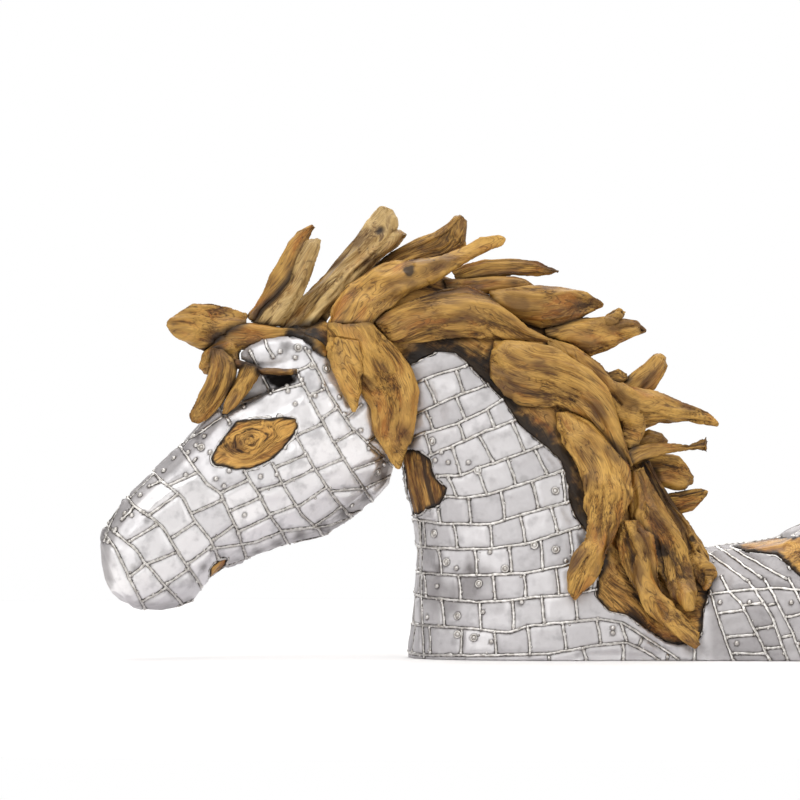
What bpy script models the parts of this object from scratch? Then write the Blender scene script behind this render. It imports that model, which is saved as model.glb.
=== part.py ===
"""Bust of a running horse: a skin of welded steel plates over carved wood, with a mane of driftwood.

The horse faces -X, its left side looks along -Y, and it stands on the flat cut below its neck at Z = 0.
"""
import math
import random

import bmesh
import bpy
import numpy as np
from mathutils import Matrix, Vector

# Driving sizes, in metres and degrees.
BUST_HEIGHT = 0.796
HEAD_TURN = 18.0
PLATE_EDGE = 0.004
GAP = 0.0003
WOOD_GAP = 0.0003
UNDERSIDE = 1.7

# The side elevation is drawn on a grid. A place is (across, down), and the flat cut is at FLOOR.
CROWN = 205.0
FLOOR = 657.0
STEP = BUST_HEIGHT / (FLOOR - CROWN)
MUZZLE = 103.0
REAR = 832.0
MIDDLE = (MUZZLE + REAR) / 2
POLL = 330.0

HEAD_SIDES = 20
NECK_SIDES = 20

# Head: the line from chin to poll, with stations (along, brow reach, jaw reach, half width in steps).
HEAD_START = Vector((125.0, 580.0))
HEAD_ALONG = Vector((0.66, -0.75))
HEAD_BROW = Vector((-0.75, -0.66))
HEAD_STATIONS = (
    (-14, 2, -18, 11),
    (-8, 13, -32, 20),
    (3, 28, -47, 26),
    (16, 41, -57, 29),
    (32, 48, -65, 31),
    (56, 51, -62, 31),
    (76, 51, -66, 32),
    (104, 49, -81, 34),
    (134, 46, -98, 38),
    (162, 47, -119, 43),
    (190, 48, -128, 49),
    (218, 51, -134, 53),
    (244, 54, -135, 56),
    (268, 54, -122, 55),
    (295, 50, -104, 50),
    (325, 34, -84, 41),
)

# Neck: stations (throat place, crest place, half width in steps).
NECK_STATIONS = (
    ((322, 350), (374, 282), 24),
    ((338, 345), (420, 264), 32),
    ((356, 366), (478, 286), 37),
    ((376, 390), (535, 308), 42),
    ((390, 415), (574, 340), 46),
    ((399, 445), (605, 382), 51),
    ((404, 485), (636, 434), 57),
    ((414, 525), (664, 486), 64),
    ((417, 562), (692, 532), 74),
    ((413, 605), (718, 568), 86),
    ((409, 645), (738, 605), 96),
    ((403, 690), (750, 650), 103),
)

# Trunk: stations (across, height of the back as a place down, half width in steps).
TRUNK_STATIONS = (
    (540, 650, 60),
    (600, 612, 84),
    (650, 576, 96),
    (690, 551, 102),
    (720, 545, 105),
    (755, 541, 108),
    (780, 536, 110),
    (800, 524, 112),
    (832, 506, 115),
)
TRUNK_ROOT = FLOOR + 70.0

# Outlines cut in the steel, as places. The wooden bed of the mane runs right through the crest.
MANE_BED = (
    (268, 322), (284, 333), (304, 339), (318, 347), (329, 359), (345, 374), (395, 374), (410, 367),
    (424, 358), (437, 352), (453, 353), (476, 373), (490, 388), (503, 400), (510, 412), (518, 424),
    (534, 438), (549, 451), (560, 461), (566, 484), (568, 500), (573, 515), (582, 527), (592, 545),
    (600, 562), (595, 579), (593, 594), (606, 609), (626, 614), (643, 627), (663, 640), (676, 642),
    (691, 639), (698, 629), (700, 607), (705, 590), (709, 578), (706, 562), (701, 548), (702, 530),
    (722, 400), (600, 260), (420, 230), (300, 262), (262, 290),
)
BROW_HOLLOW = (
    (299, 372), (281, 376), (262, 373), (243, 365), (236, 372), (228, 390), (219, 408), (224, 417),
    (240, 409), (260, 399), (279, 388), (293, 381),
)
BROW_RIM = (
    (241, 352, 241, 361, 46), (251, 344, 251, 366, 50), (266, 338, 266, 370, 50),
    (287, 336, 285, 372, 48), (308, 342, 304, 378, 44), (324, 352, 316, 384, 42),
)
EYE = (
    (213, 458), (219, 447), (226, 438), (233, 428), (239, 421), (258, 419), (271, 419), (283, 417),
    (297, 419), (298, 428), (293, 437), (284, 448), (274, 458), (262, 464), (251, 468), (237, 468),
    (226, 465), (217, 465),
)
EYE_LENS = (
    (228, 450, 230, 454, 67), (237, 437, 245, 456, 66), (250, 428, 261, 450, 66),
    (266, 423, 273, 442, 65), (282, 423, 284, 431, 63),
)
MOUTH = ((210, 580), (212, 566), (219, 559), (229, 557), (226, 565), (221, 575), (214, 583))
THROAT = (
    (409, 448), (422, 451), (432, 460), (432, 470), (437, 479), (447, 487), (444, 497), (438, 506),
    (426, 509), (424, 513), (407, 516), (396, 512), (388, 490), (392, 460),
)
SADDLE = (
    (732, 546), (760, 540), (777, 538), (800, 536), (850, 532), (850, 612), (832, 601), (815, 590),
    (800, 579), (784, 563), (774, 553), (744, 551),
)


def place(across, down, out=0.0):
    """World point of a place on the elevation; out is how far it stands toward the left side."""
    return Vector(((across - MIDDLE) * STEP, -out * STEP, (FLOOR - down) * STEP))


def rounded(angle, squareness):
    """Point of a unit superellipse."""
    c, s = math.cos(angle), math.sin(angle)
    power = 2.0 / squareness
    return math.copysign(abs(c) ** power, c), math.copysign(abs(s) ** power, s)


def loft(rings):
    """Closed mesh through rings of points, capped at both ends."""
    bm = bmesh.new()
    rows = [[bm.verts.new(p) for p in ring] for ring in rings]
    count = len(rows[0])
    for a, b in zip(rows, rows[1:]):
        for i in range(count):
            j = (i + 1) % count
            bm.faces.new((a[i], a[j], b[j], b[i]))
    bm.faces.new(rows[0][::-1])
    bm.faces.new(rows[-1])
    bmesh.ops.recalc_face_normals(bm, faces=bm.faces)
    return bm


def solid(name, bm):
    """Object made of a mesh, which is freed."""
    mesh = bpy.data.meshes.new(name)
    bm.to_mesh(mesh)
    bm.free()
    made = bpy.data.objects.new(name, mesh)
    bpy.context.collection.objects.link(made)
    return made


def drop(made):
    mesh = made.data
    bpy.data.objects.remove(made, do_unlink=True)
    bpy.data.meshes.remove(mesh)


def combine(made, other, how):
    """Boolean of one object with another, kept in the first one."""
    step = made.modifiers.new("combine", "BOOLEAN")
    step.operation = how
    step.solver = "EXACT"
    step.object = other
    bpy.context.view_layer.update()
    seen = made.evaluated_get(bpy.context.evaluated_depsgraph_get())
    mesh = bpy.data.meshes.new_from_object(seen)
    made.modifiers.clear()
    old = made.data
    made.data = mesh
    bpy.data.meshes.remove(old)
    return made


def prism(name, outline, near, far):
    """Straight prism on an outline of places, between two distances out."""
    return solid(name, loft([[place(x, y, out) for x, y in outline] for out in (near, far)]))


def turn_head(made):
    """Turns the head about the poll, muzzle toward the left side."""
    pivot = place(POLL, FLOOR)
    turn = Matrix.Rotation(math.radians(HEAD_TURN), 4, "Z")
    made.data.transform(Matrix.Translation(pivot) @ turn @ Matrix.Translation(-pivot))
    return made


def head():
    """The head is drawn foreshortened by its turn, so it's stretched back to true length first."""
    stretch = 1.0 / math.cos(math.radians(HEAD_TURN))
    rings = []
    for along, brow, jaw, half in HEAD_STATIONS:
        centre = HEAD_START + HEAD_ALONG * along + HEAD_BROW * (brow + jaw) / 2
        ring = []
        for k in range(HEAD_SIDES):
            t, w = rounded(2 * math.pi * k / HEAD_SIDES, 3.0)
            narrow = 1.0 - 0.26 * max(0.0, t) ** 2 - 0.42 * max(0.0, -t) ** 2
            at = centre + HEAD_BROW * (brow - jaw) / 2 * t
            ring.append(place(POLL + (at.x - POLL) * stretch, at.y, half * narrow * w))
        rings.append(ring)
    return turn_head(solid("head", loft(rings)))


def neck():
    rings = []
    for throat, crest, half in NECK_STATIONS:
        a, b = Vector(throat), Vector(crest)
        ring = []
        for k in range(NECK_SIDES):
            t, w = rounded(2 * math.pi * k / NECK_SIDES, 2.3)
            at = (a + b) / 2 + (b - a) / 2 * t
            ring.append(place(at.x, at.y, half * w * (1.0 - 0.30 * max(0.0, t) ** 2)))
        rings.append(ring)
    return solid("neck", loft(rings))


def trunk():
    rings = []
    for across, back, half in TRUNK_STATIONS:
        ring = []
        for k in range(NECK_SIDES):
            t, w = rounded(2 * math.pi * k / NECK_SIDES, 2.4)
            ring.append(place(across, TRUNK_ROOT + (back - TRUNK_ROOT) * t, half * w))
        rings.append(ring)
    return solid("trunk", loft(rings))


def inset(outline, by):
    """Outline with every side moved inward by a number of steps."""
    points = [Vector(p) for p in outline]
    turn = sum(a.x * b.y - a.y * b.x for a, b in zip(points, points[1:] + points[:1]))
    sign = 1.0 if turn > 0 else -1.0
    moved = []
    for before, here, after in zip(points[-1:] + points[:-1], points, points[1:] + points[:1]):
        a, b = (here - before).normalized(), (after - here).normalized()
        inward = [Vector((-side.y, side.x)) * sign for side in (a, b)]
        half = (inward[0] + inward[1]).normalized()
        moved.append(here + half * by / max(0.35, half.dot(inward[0])))
    return moved


def swell(made, by):
    """Moves every corner so that the faces around it all move outward by the same offset."""
    bm = bmesh.new()
    bm.from_mesh(made.data)
    bmesh.ops.recalc_face_normals(bm, faces=bm.faces)
    moves = []
    for vert in bm.verts:
        normals = np.array([face.normal for face in vert.link_faces if face.calc_area() > 1e-10])
        if not len(normals):
            moves.append(vert.normal * by)
            continue
        square = normals.T @ normals + np.eye(3) * 0.02
        move = Vector(np.linalg.solve(square, normals.T @ np.full(len(normals), by)))
        if move.length > 2.5 * abs(by):
            move *= 2.5 * abs(by) / move.length
        moves.append(move)
    for vert, move in zip(bm.verts, moves):
        vert.co += move
    bm.to_mesh(made.data)
    bm.free()
    return made


def twin(made, by=0.0):
    """Copy of an object, swollen by an offset."""
    copy = bpy.data.objects.new(made.name + "_copy", made.data.copy())
    bpy.context.collection.objects.link(copy)
    return swell(copy, by) if by else copy


def form(by=0.0):
    """Head, neck and trunk, each swollen by an offset while it is a plain loft, then joined and cut flat."""
    joined = swell(head(), by)
    for other in (swell(neck(), by), swell(trunk(), by)):
        combine(joined, other, "UNION")
        drop(other)
    below = prism("below", ((0, FLOOR), (900, FLOOR), (900, 900), (0, 900)), 300, -300)
    combine(joined, below, "DIFFERENCE")
    drop(below)
    return tidy(joined)


def open_edges(bm):
    return sum(1 for edge in bm.edges if len(edge.link_faces) != 2)


def tidy(made):
    """Welds corners that meet, keeps the largest closed shell and leaves triangles."""
    for reach_of_weld in (0.0001, 0.00003, 0.000001):
        bm = bmesh.new()
        bm.from_mesh(made.data)
        bmesh.ops.remove_doubles(bm, verts=bm.verts, dist=reach_of_weld)
        bmesh.ops.dissolve_degenerate(bm, edges=bm.edges, dist=reach_of_weld)
        bmesh.ops.triangulate(bm, faces=bm.faces)
        left = set(bm.verts)
        shells = []
        while left:
            seed = left.pop()
            shell = {seed}
            edge = [seed]
            while edge:
                for link in edge.pop().link_edges:
                    for vert in link.verts:
                        if vert not in shell:
                            shell.add(vert)
                            edge.append(vert)
            left -= shell
            shells.append(shell)
        keep = max(shells, key=lambda s: sum(f.calc_area() for v in s for f in v.link_faces))
        bmesh.ops.delete(bm, geom=[v for v in bm.verts if v not in keep], context="VERTS")
        bmesh.ops.recalc_face_normals(bm, faces=bm.faces)
        closed = open_edges(bm) == 0
        if closed:
            bm.to_mesh(made.data)
        bm.free()
        if closed:
            break
    return made


def mirror(made, turned):
    """Mirrors a mesh to the far side, about the head's own middle plane where turned."""
    pivot = place(POLL, FLOOR)
    turn = Matrix.Rotation(math.radians(HEAD_TURN if turned else 0.0), 4, "Z")
    flip = Matrix.Scale(-1.0, 4, Vector((0.0, 1.0, 0.0)))
    about = turn @ flip @ turn.inverted()
    made.data.transform(Matrix.Translation(pivot) @ about @ Matrix.Translation(-pivot))
    made.data.flip_normals()
    return made


def set_in(name, outline, near, far, proud, side, turned=False):
    """Wooden inlay: cuts its outline out of the steel skin and fills the cut with a solid of its own."""
    cutter = prism("cutter", outline, near, far)
    filler = prism("filler", inset(outline, GAP / STEP), near - GAP / STEP, far + GAP / STEP)
    if side < 0:
        mirror(cutter, turned)
        mirror(filler, turned)
    wood = combine(form(proud), filler, "INTERSECT")
    combine(skin, cutter, "DIFFERENCE")
    drop(cutter)
    drop(filler)
    wood.name = name
    return tidy(wood)


def room_round_bed():
    """The bed of the mane with the clearance that the pieces on it keep, made as the bed is."""
    grown = (GAP - WOOD_GAP) / STEP
    filler = prism("filler", inset(MANE_BED, grown), 300 - grown, grown - 300)
    room = combine(form(WOOD_GAP - PLATE_EDGE), filler, "INTERSECT")
    drop(filler)
    return tidy(room)


def billet(name, thick, stations, sides):
    """Split piece of driftwood through stations (one edge place, the other, out), thick half way."""
    chance = random.Random(name)
    edges = [(Vector(s[0:2]), Vector(s[2:4]), s[4]) for s in stations]
    widest = max((a - b).length for a, b, _ in edges)
    ridge = [1.0 + chance.uniform(-0.25, 0.05) for _ in range(sides)]
    rings = []
    for a, b, out in edges:
        depth = thick * (0.25 + 0.75 * (a - b).length / widest)
        ring = []
        for k in range(sides):
            across, through = rounded(2 * math.pi * k / sides, 2.2)
            edge = k % (sides // 2) == 0
            at = (a + b) / 2 + (a - b) / 2 * across * (1.0 if edge else ridge[k])
            lump = 0.0 if edge else chance.uniform(-0.16, 0.16)
            under = UNDERSIDE if through < 0 else 1.0
            ring.append(place(at.x, at.y, out + through * depth * under * (ridge[k] + lump)))
        rings.append(ring)
    return solid(name, loft(rings))


def reach(made):
    corners = [made.matrix_world @ Vector(c) for c in made.bound_box]
    return [(min(c[i] for c in corners), max(c[i] for c in corners)) for i in range(3)]


def touching(a, b, slack=0.002):
    return all(lo < high + slack and low < hi + slack for (lo, hi), (low, high) in zip(reach(a), reach(b)))


def lay(name, thick, *limbs, far=False):
    """Makes a piece of one or more limbs and cuts it clear of all that lie in front of or under it."""
    sides = 6 if far or thick < 9 else 8
    made = billet(name, thick, limbs[0], sides)
    for limb in limbs[1:]:
        other = billet(name + "_limb", thick, limb, sides)
        combine(made, other, "UNION")
        drop(other)
    if far:
        mirror(made, False)
    tidy(made)
    for other in laid:
        if touching(made, other):
            room = twin(bed_room if other == bed else other, 0.0 if other == bed else WOOD_GAP)
            combine(made, room, "DIFFERENCE")
            drop(room)
            tidy(made)
    laid.append(made)
    return made


def material(name, colour, metallic, roughness):
    made = bpy.data.materials.new(name)
    made.use_nodes = True
    shader = made.node_tree.nodes["Principled BSDF"]
    shader.inputs["Base Color"].default_value = (*colour, 1.0)
    shader.inputs["Metallic"].default_value = metallic
    shader.inputs["Roughness"].default_value = roughness
    return made


for old in list(bpy.data.objects):
    bpy.data.objects.remove(old, do_unlink=True)

# The whole form is split into the steel skin and the wood that shows through it.
skin = form()
skin.name = "steel_skin"
hollow = prism("hollow", BROW_HOLLOW, 200, 34)
combine(skin, hollow, "DIFFERENCE")
drop(hollow)
rim = billet("brow_rim", 9, BROW_RIM, 8)
combine(skin, rim, "UNION")
drop(rim)
bed = set_in("mane_bed", MANE_BED, 300, -300, -PLATE_EDGE, 1)
bed_room = room_round_bed()
woods = [bed]
for side, tag in ((1, "left"), (-1, "right")):
    eye = set_in("eye_" + tag, EYE, 200, 46, 0.001, side, True)
    lens = billet("lens", 6, EYE_LENS, 8)
    if side < 0:
        mirror(lens, True)
    combine(eye, lens, "UNION")
    drop(lens)
    woods.append(tidy(eye))
    woods.append(set_in("mouth_" + tag, MOUTH, 200, 40, -0.001, side, True))
    woods.append(set_in("throat_" + tag, THROAT, 200, 6, -0.003, side))
    woods.append(set_in("saddle_" + tag, SADDLE, 300, 6, 0.001, side))
tidy(skin)
laid = [skin] + woods

# The mane, from the pieces in front back to those behind.
lay("shin", 11, (
    (556, 413, 566, 412, 50), (558, 428, 590, 424, 52), (566, 449, 612, 444, 54), (578, 469, 627, 463, 58),
    (585, 492, 630, 490, 66), (585, 517, 620, 519, 76), (581, 538, 611, 542, 84), (571, 552, 601, 562, 90),
    (567, 572, 590, 578, 95), (566, 588, 579, 590, 98), (570, 595, 573, 596, 99)))
lay("cheek_fork", 9, (
    (328, 326, 371, 326, 50), (331, 347, 393, 345, 50), (344, 372, 410, 368, 50), (361, 388, 418, 391, 46),
    (372, 408, 416, 411, 43), (373, 430, 412, 429, 40), (383, 449, 406, 449, 34), (396, 467, 399, 468, 28)),
    ((330, 338, 362, 343, 53), (334, 366, 362, 366, 58), (341, 388, 361, 386, 60), (348, 401, 358, 399, 61),
     (353, 411, 355, 411, 61)))
lay("nape_leaf", 10, (
    (375, 322, 377, 327, 44), (392, 310, 394, 343, 43), (416, 298, 418, 342, 44), (441, 289, 443, 340, 44),
    (467, 285, 468, 339, 43), (489, 294, 486, 338, 42), (506, 311, 504, 339, 42), (526, 329, 523, 341, 43),
    (547, 339, 546, 343, 44)))
lay("shoulder_plank", 11, (
    (491, 350, 489, 366, 44), (494, 342, 491, 378, 46), (512, 342, 505, 394, 50), (532, 344, 520, 405, 50),
    (552, 348, 540, 406, 50), (572, 360, 556, 406, 50), (590, 371, 573, 412, 48), (604, 386, 588, 421, 47),
    (614, 408, 600, 434, 47), (620, 433, 612, 449, 49), (631, 465, 627, 467, 51)))
lay("wither_tongue", 10, (
    (618, 522, 636, 520, 66), (614, 540, 652, 534, 72), (619, 562, 656, 554, 78), (627, 581, 657, 574, 83),
    (638, 600, 661, 590, 88), (652, 615, 670, 606, 93), (667, 630, 684, 618, 98), (681, 640, 695, 629, 103),
    (691, 645, 697, 641, 106)))
lay("wither_slab", 12, (
    (628, 470, 642, 466, 44), (628, 492, 652, 484, 47), (630, 516, 664, 508, 53), (640, 540, 676, 530, 59),
    (654, 560, 682, 550, 66), (661, 578, 688, 570, 74), (668, 594, 694, 588, 85), (683, 607, 689, 606, 95)))
lay("wither_strip", 9, (
    (636, 460, 650, 460, 34), (646, 478, 659, 477, 33), (658, 502, 673, 500, 33), (671, 526, 688, 521, 36),
    (678, 546, 699, 541, 44), (684, 564, 706, 561, 56), (694, 579, 713, 572, 68), (699, 589, 708, 582, 78)))
lay("crest_leaf", 9, (
    (327, 324, 373, 324, 44), (332, 307, 384, 313, 42), (348, 286, 396, 302, 38), (370, 271, 410, 291, 34),
    (394, 262, 424, 286, 31), (411, 260, 434, 281, 29)),
    ((409, 260, 432, 284, 29), (427, 258, 444, 277, 26), (442, 256, 458, 269, 23), (461, 249, 475, 258, 19),
     (481, 240, 491, 248, 15), (496, 236, 502, 244, 12), (502, 238, 504, 242, 11)))
lay("forelock_hook", 8, (
    (213, 348, 224, 350, 56), (213, 363, 239, 366, 57), (207, 383, 236, 384, 59), (199, 400, 225, 401, 60),
    (191, 415, 210, 417, 60), (193, 422, 201, 424, 60)))
lay("forelock_small", 6, (
    (242, 364, 264, 369, 58), (239, 377, 260, 378, 60), (231, 391, 251, 392, 63), (226, 406, 238, 405, 65),
    (224, 413, 229, 413, 66)))
lay("forelock_brow", 12, (
    (213, 328, 214, 345, 36), (230, 326, 232, 352, 36), (246, 324, 246, 350, 35), (266, 325, 266, 344, 33),
    (284, 329, 286, 340, 33), (304, 334, 303, 343, 38), (316, 341, 314, 349, 44), (328, 350, 325, 357, 48)),
    ((214, 334, 240, 336, 38), (210, 345, 243, 352, 42), (204, 353, 240, 366, 45), (202, 367, 218, 369, 46),
     (206, 374, 212, 374, 46)),
    ((236, 358, 238, 370, 50), (252, 364, 252, 371, 54), (264, 368, 263, 375, 57), (282, 369, 281, 376, 60),
     (297, 370, 296, 374, 62)))
lay("forelock_leaf", 9, (
    (169, 323, 169, 326, 50), (178, 315, 176, 335, 48), (195, 305, 192, 345, 45), (212, 304, 206, 351, 42),
    (230, 308, 222, 345, 38), (248, 314, 244, 334, 34)))
lay("spike_front", 8, (
    (251, 322, 283, 327, 30), (259, 311, 294, 312, 30), (275, 297, 303, 296, 30), (289, 280, 310, 281, 29),
    (298, 257, 315, 265, 28), (306, 242, 319, 250, 27), (317, 238, 321, 241, 26)))
lay("spike_rear", 7, (
    (246, 317, 264, 326, 27), (256, 305, 274, 311, 26), (264, 292, 286, 296, 24), (271, 276, 296, 281, 22),
    (280, 263, 301, 267, 20), (289, 243, 308, 251, 18), (298, 232, 309, 239, 16), (312, 225, 316, 228, 15)))
lay("crest_pole", 14, (
    (279, 328, 316, 334, 20), (292, 313, 331, 312, 15), (303, 296, 346, 293, 12), (318, 281, 361, 278, 9),
    (333, 264, 376, 262, 6), (346, 249, 386, 250, 4), (360, 233, 396, 238, 2), (374, 216, 396, 224, 0),
    (382, 206, 393, 210, 0)),
    ((366, 248, 376, 262, 4), (382, 236, 392, 250, 2), (396, 230, 402, 239, 0), (407, 233, 409, 236, 0)))
lay("nape_knot", 12, (
    (489, 291, 500, 312, 24), (512, 289, 516, 322, 24), (539, 286, 540, 329, 22), (563, 288, 562, 325, 18),
    (586, 293, 582, 318, 15), (597, 298, 594, 311, 13), (603, 304, 602, 306, 12)))
lay("nape_fork", 11, (
    (545, 330, 547, 336, 18), (566, 323, 568, 341, 16), (588, 317, 588, 358, 13), (606, 318, 605, 351, 11),
    (623, 319, 623, 342, 9), (636, 321, 635, 336, 8), (646, 330, 645, 332, 8)),
    ((602, 322, 614, 326, 10), (612, 311, 622, 317, 8), (619, 308, 624, 312, 6)))
lay("back_arm", 11, (
    (546, 337, 548, 348, 26), (573, 346, 565, 362, 27), (600, 363, 588, 384, 28), (612, 379, 604, 402, 30),
    (628, 385, 618, 428, 31), (646, 391, 640, 430, 29), (663, 395, 660, 422, 26), (687, 404, 686, 421, 22),
    (707, 412, 704, 423, 18), (716, 424, 716, 426, 16)),
    ((616, 404, 648, 410, 30), (618, 428, 643, 434, 33), (622, 448, 634, 447, 38)))
lay("back_twig", 6, (
    (620, 455, 626, 468, 42), (633, 447, 640, 462, 40), (648, 443, 654, 456, 37), (667, 443, 668, 453, 33),
    (688, 443, 688, 451, 28), (698, 439, 699, 451, 26), (706, 435, 706, 453, 24)))
lay("back_root", 8, ((628, 440, 634, 456, 22), (648, 430, 650, 450, 18), (661, 434, 660, 448, 16),
                     (667, 440, 666, 447, 14)))
lay("back_chunk", 10, (
    (638, 458, 644, 478, 14), (660, 455, 660, 486, 14), (677, 457, 674, 489, 12), (689, 469, 684, 488, 11),
    (694, 476, 692, 483, 10)))
lay("back_chip", 8, ((662, 494, 670, 508, 14), (678, 491, 681, 513, 12), (690, 489, 692, 510, 12),
                     (700, 488, 702, 500, 12), (707, 491, 706, 495, 12)))
lay("back_stub", 10, ((622, 384, 640, 400, 12), (632, 373, 654, 388, 10), (645, 363, 662, 376, 9),
                      (653, 355, 667, 366, 8), (659, 353, 666, 358, 6)))
lay("back_knob", 7, ((598, 376, 600, 390, 18), (608, 372, 610, 384, 16), (618, 369, 620, 384, 15),
                     (627, 373, 627, 380, 14)))
lay("crest_rib", 7, ((444, 280, 448, 294, 14), (468, 280, 470, 294, 13), (492, 277, 494, 294, 11),
                     (514, 277, 514, 293, 10), (524, 279, 524, 291, 9), (535, 285, 535, 288, 8)))
lay("crest_blade", 8, (
    (452, 272, 458, 284, 5), (466, 265, 472, 281, 4), (484, 260, 490, 279, 2), (512, 259, 514, 276, 0),
    (537, 261, 536, 277, -2), (552, 266, 549, 276, -3), (560, 271, 560, 272, -4)))
lay("crest_gnarl", 12, (
    (345, 288, 358, 300, -8), (370, 267, 384, 284, -9), (392, 252, 402, 272, -10),
    (416, 240, 428, 264, -11), (434, 233, 446, 258, -11), (447, 224, 465, 246, -12),
    (455, 216, 466, 236, -13), (460, 214, 467, 221, -14)))

# The far side carries plainer pieces, in step with the near ones.
FAR = (
    ("far_shin", 11, ((560, 416, 580, 414, 52), (570, 448, 616, 446, 56), (585, 494, 628, 490, 68),
                      (578, 545, 608, 552, 86), (568, 592, 577, 594, 99))),
    ("far_cheek", 9, ((330, 328, 370, 328, 54), (338, 356, 398, 352, 54), (366, 392, 416, 392, 50),
                      (374, 430, 410, 430, 44), (394, 462, 400, 463, 36))),
    ("far_nape", 10, ((378, 322, 380, 332, 42), (416, 300, 418, 340, 42), (466, 288, 468, 337, 40),
                      (504, 312, 502, 338, 40), (542, 338, 541, 342, 42))),
    ("far_plank", 11, ((493, 346, 490, 372, 46), (530, 346, 520, 402, 50), (572, 362, 556, 405, 50),
                       (606, 392, 592, 424, 47), (624, 450, 619, 456, 50))),
    ("far_tongue", 10, ((620, 526, 640, 522, 58), (622, 566, 655, 560, 72), (650, 612, 668, 603, 86),
                        (686, 641, 695, 633, 99))),
    ("far_slab", 12, ((630, 474, 644, 470, 45), (634, 520, 664, 510, 54), (660, 572, 686, 562, 74),
                      (678, 603, 690, 598, 93))),
    ("far_crest", 9, ((330, 322, 372, 322, 44), (350, 287, 396, 302, 38), (394, 264, 423, 285, 31),
                      (430, 262, 436, 276, 26))),
    ("far_arm", 11, ((556, 342, 552, 354, 26), (604, 368, 592, 390, 28), (650, 393, 642, 426, 27),
                     (704, 412, 700, 421, 18))),
)
for name, thick, stations in FAR:
    lay(name, thick, stations, far=True)
drop(bed_room)

steel = material("welded_steel", (0.78, 0.78, 0.80), 1.0, 0.25)
core = material("carved_core", (0.30, 0.16, 0.06), 0.0, 0.6)
drift = material("driftwood", (0.45, 0.25, 0.08), 0.0, 0.6)
pale = material("pale_driftwood", (0.58, 0.40, 0.18), 0.0, 0.65)
for made in laid:
    made.data.materials.clear()
    if made == skin:
        made.data.materials.append(steel)
    elif made in woods:
        made.data.materials.append(core)
    elif made.name in ("crest_pole", "spike_front"):
        made.data.materials.append(pale)
    else:
        made.data.materials.append(drift)

# The origin is the middle of the footprint of the bounding box, on the flat cut.
spans = [reach(made) for made in laid]
middle = [(min(s[i][0] for s in spans) + max(s[i][1] for s in spans)) / 2 for i in range(2)]
for made in laid:
    made.data.transform(Matrix.Translation((-middle[0], -middle[1], 0.0)))
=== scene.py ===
# %% [markdown]
# # A running horse in welded steel and driftwood
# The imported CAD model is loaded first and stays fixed. Every visible piece is then made over one of its
# solids, so that nothing drifts from the real sizes. Lengths are in metres.

# %% Load the frame
import math

import bpy
import numpy as np
from mathutils import Matrix, Vector
from mathutils.bvhtree import BVHTree
from mathutils.kdtree import KDTree


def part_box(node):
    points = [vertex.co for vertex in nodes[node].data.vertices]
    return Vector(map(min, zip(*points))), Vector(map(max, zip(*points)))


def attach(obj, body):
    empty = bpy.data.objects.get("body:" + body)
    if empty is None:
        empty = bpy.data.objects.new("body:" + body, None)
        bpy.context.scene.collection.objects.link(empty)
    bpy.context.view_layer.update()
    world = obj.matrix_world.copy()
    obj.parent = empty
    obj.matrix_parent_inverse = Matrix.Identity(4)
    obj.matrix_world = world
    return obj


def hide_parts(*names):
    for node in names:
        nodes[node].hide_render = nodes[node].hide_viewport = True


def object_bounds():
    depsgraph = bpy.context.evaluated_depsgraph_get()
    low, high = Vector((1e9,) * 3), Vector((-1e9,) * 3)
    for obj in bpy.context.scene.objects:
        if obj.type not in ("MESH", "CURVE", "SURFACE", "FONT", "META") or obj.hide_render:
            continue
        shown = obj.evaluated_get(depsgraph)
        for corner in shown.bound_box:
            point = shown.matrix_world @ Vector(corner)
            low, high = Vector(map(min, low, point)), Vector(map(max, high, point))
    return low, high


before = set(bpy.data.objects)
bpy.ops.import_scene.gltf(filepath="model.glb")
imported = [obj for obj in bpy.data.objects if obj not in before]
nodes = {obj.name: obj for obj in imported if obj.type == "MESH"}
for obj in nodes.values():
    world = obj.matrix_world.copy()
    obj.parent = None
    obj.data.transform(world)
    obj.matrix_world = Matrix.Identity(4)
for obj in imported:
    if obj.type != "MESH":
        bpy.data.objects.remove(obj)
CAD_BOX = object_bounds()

print("CAD box", CAD_BOX)

# %% [markdown]
# The side elevation is drawn on a grid of steps, as a sculptor squares up a drawing. One step is 1.76 mm. A
# place on it is (across, down), so a weld seam is a short list of places, and it can be laid on the curved
# steel later by sending it straight along the view.

# %% The drawing grid
STEP = 0.796 / 452           # the bust's height, over its height on the drawing
REAR, FLOOR = 832.0, 657.0   # across at the rear cut, and down at the floor
REAR_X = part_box("steel_skin")[1].x


def spot(across, down, y=0.0):
    """Point in the frame of a place on the elevation."""
    return Vector((REAR_X - (REAR - across) * STEP, y, (FLOOR - down) * STEP))


def on_grid(co):
    """Places on the elevation of an array of points."""
    return np.stack((REAR - (REAR_X - co[:, 0]) / STEP, FLOOR - co[:, 2] / STEP), axis=1)


def from_place(flat, across, down, wide=1.0, tall=1.0):
    """How far places are from one of them, in steps or in a given reach."""
    return np.hypot((flat[:, 0] - across) / wide, (flat[:, 1] - down) / tall)


print("one step is", round(STEP * 1000, 3), "mm")

# %% [markdown]
# Hand-worked steel and weathered wood are never regular, but a script has to give the same mesh every time.
# This noise is worked out from whole-number cells, so it's random to the eye and fixed in fact.

# %% Noise that never changes
def eased(values):
    """Values held between 0 and 1, with a soft start and end."""
    values = np.clip(values, 0, 1)
    return values * values * (3 - 2 * values)


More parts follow.
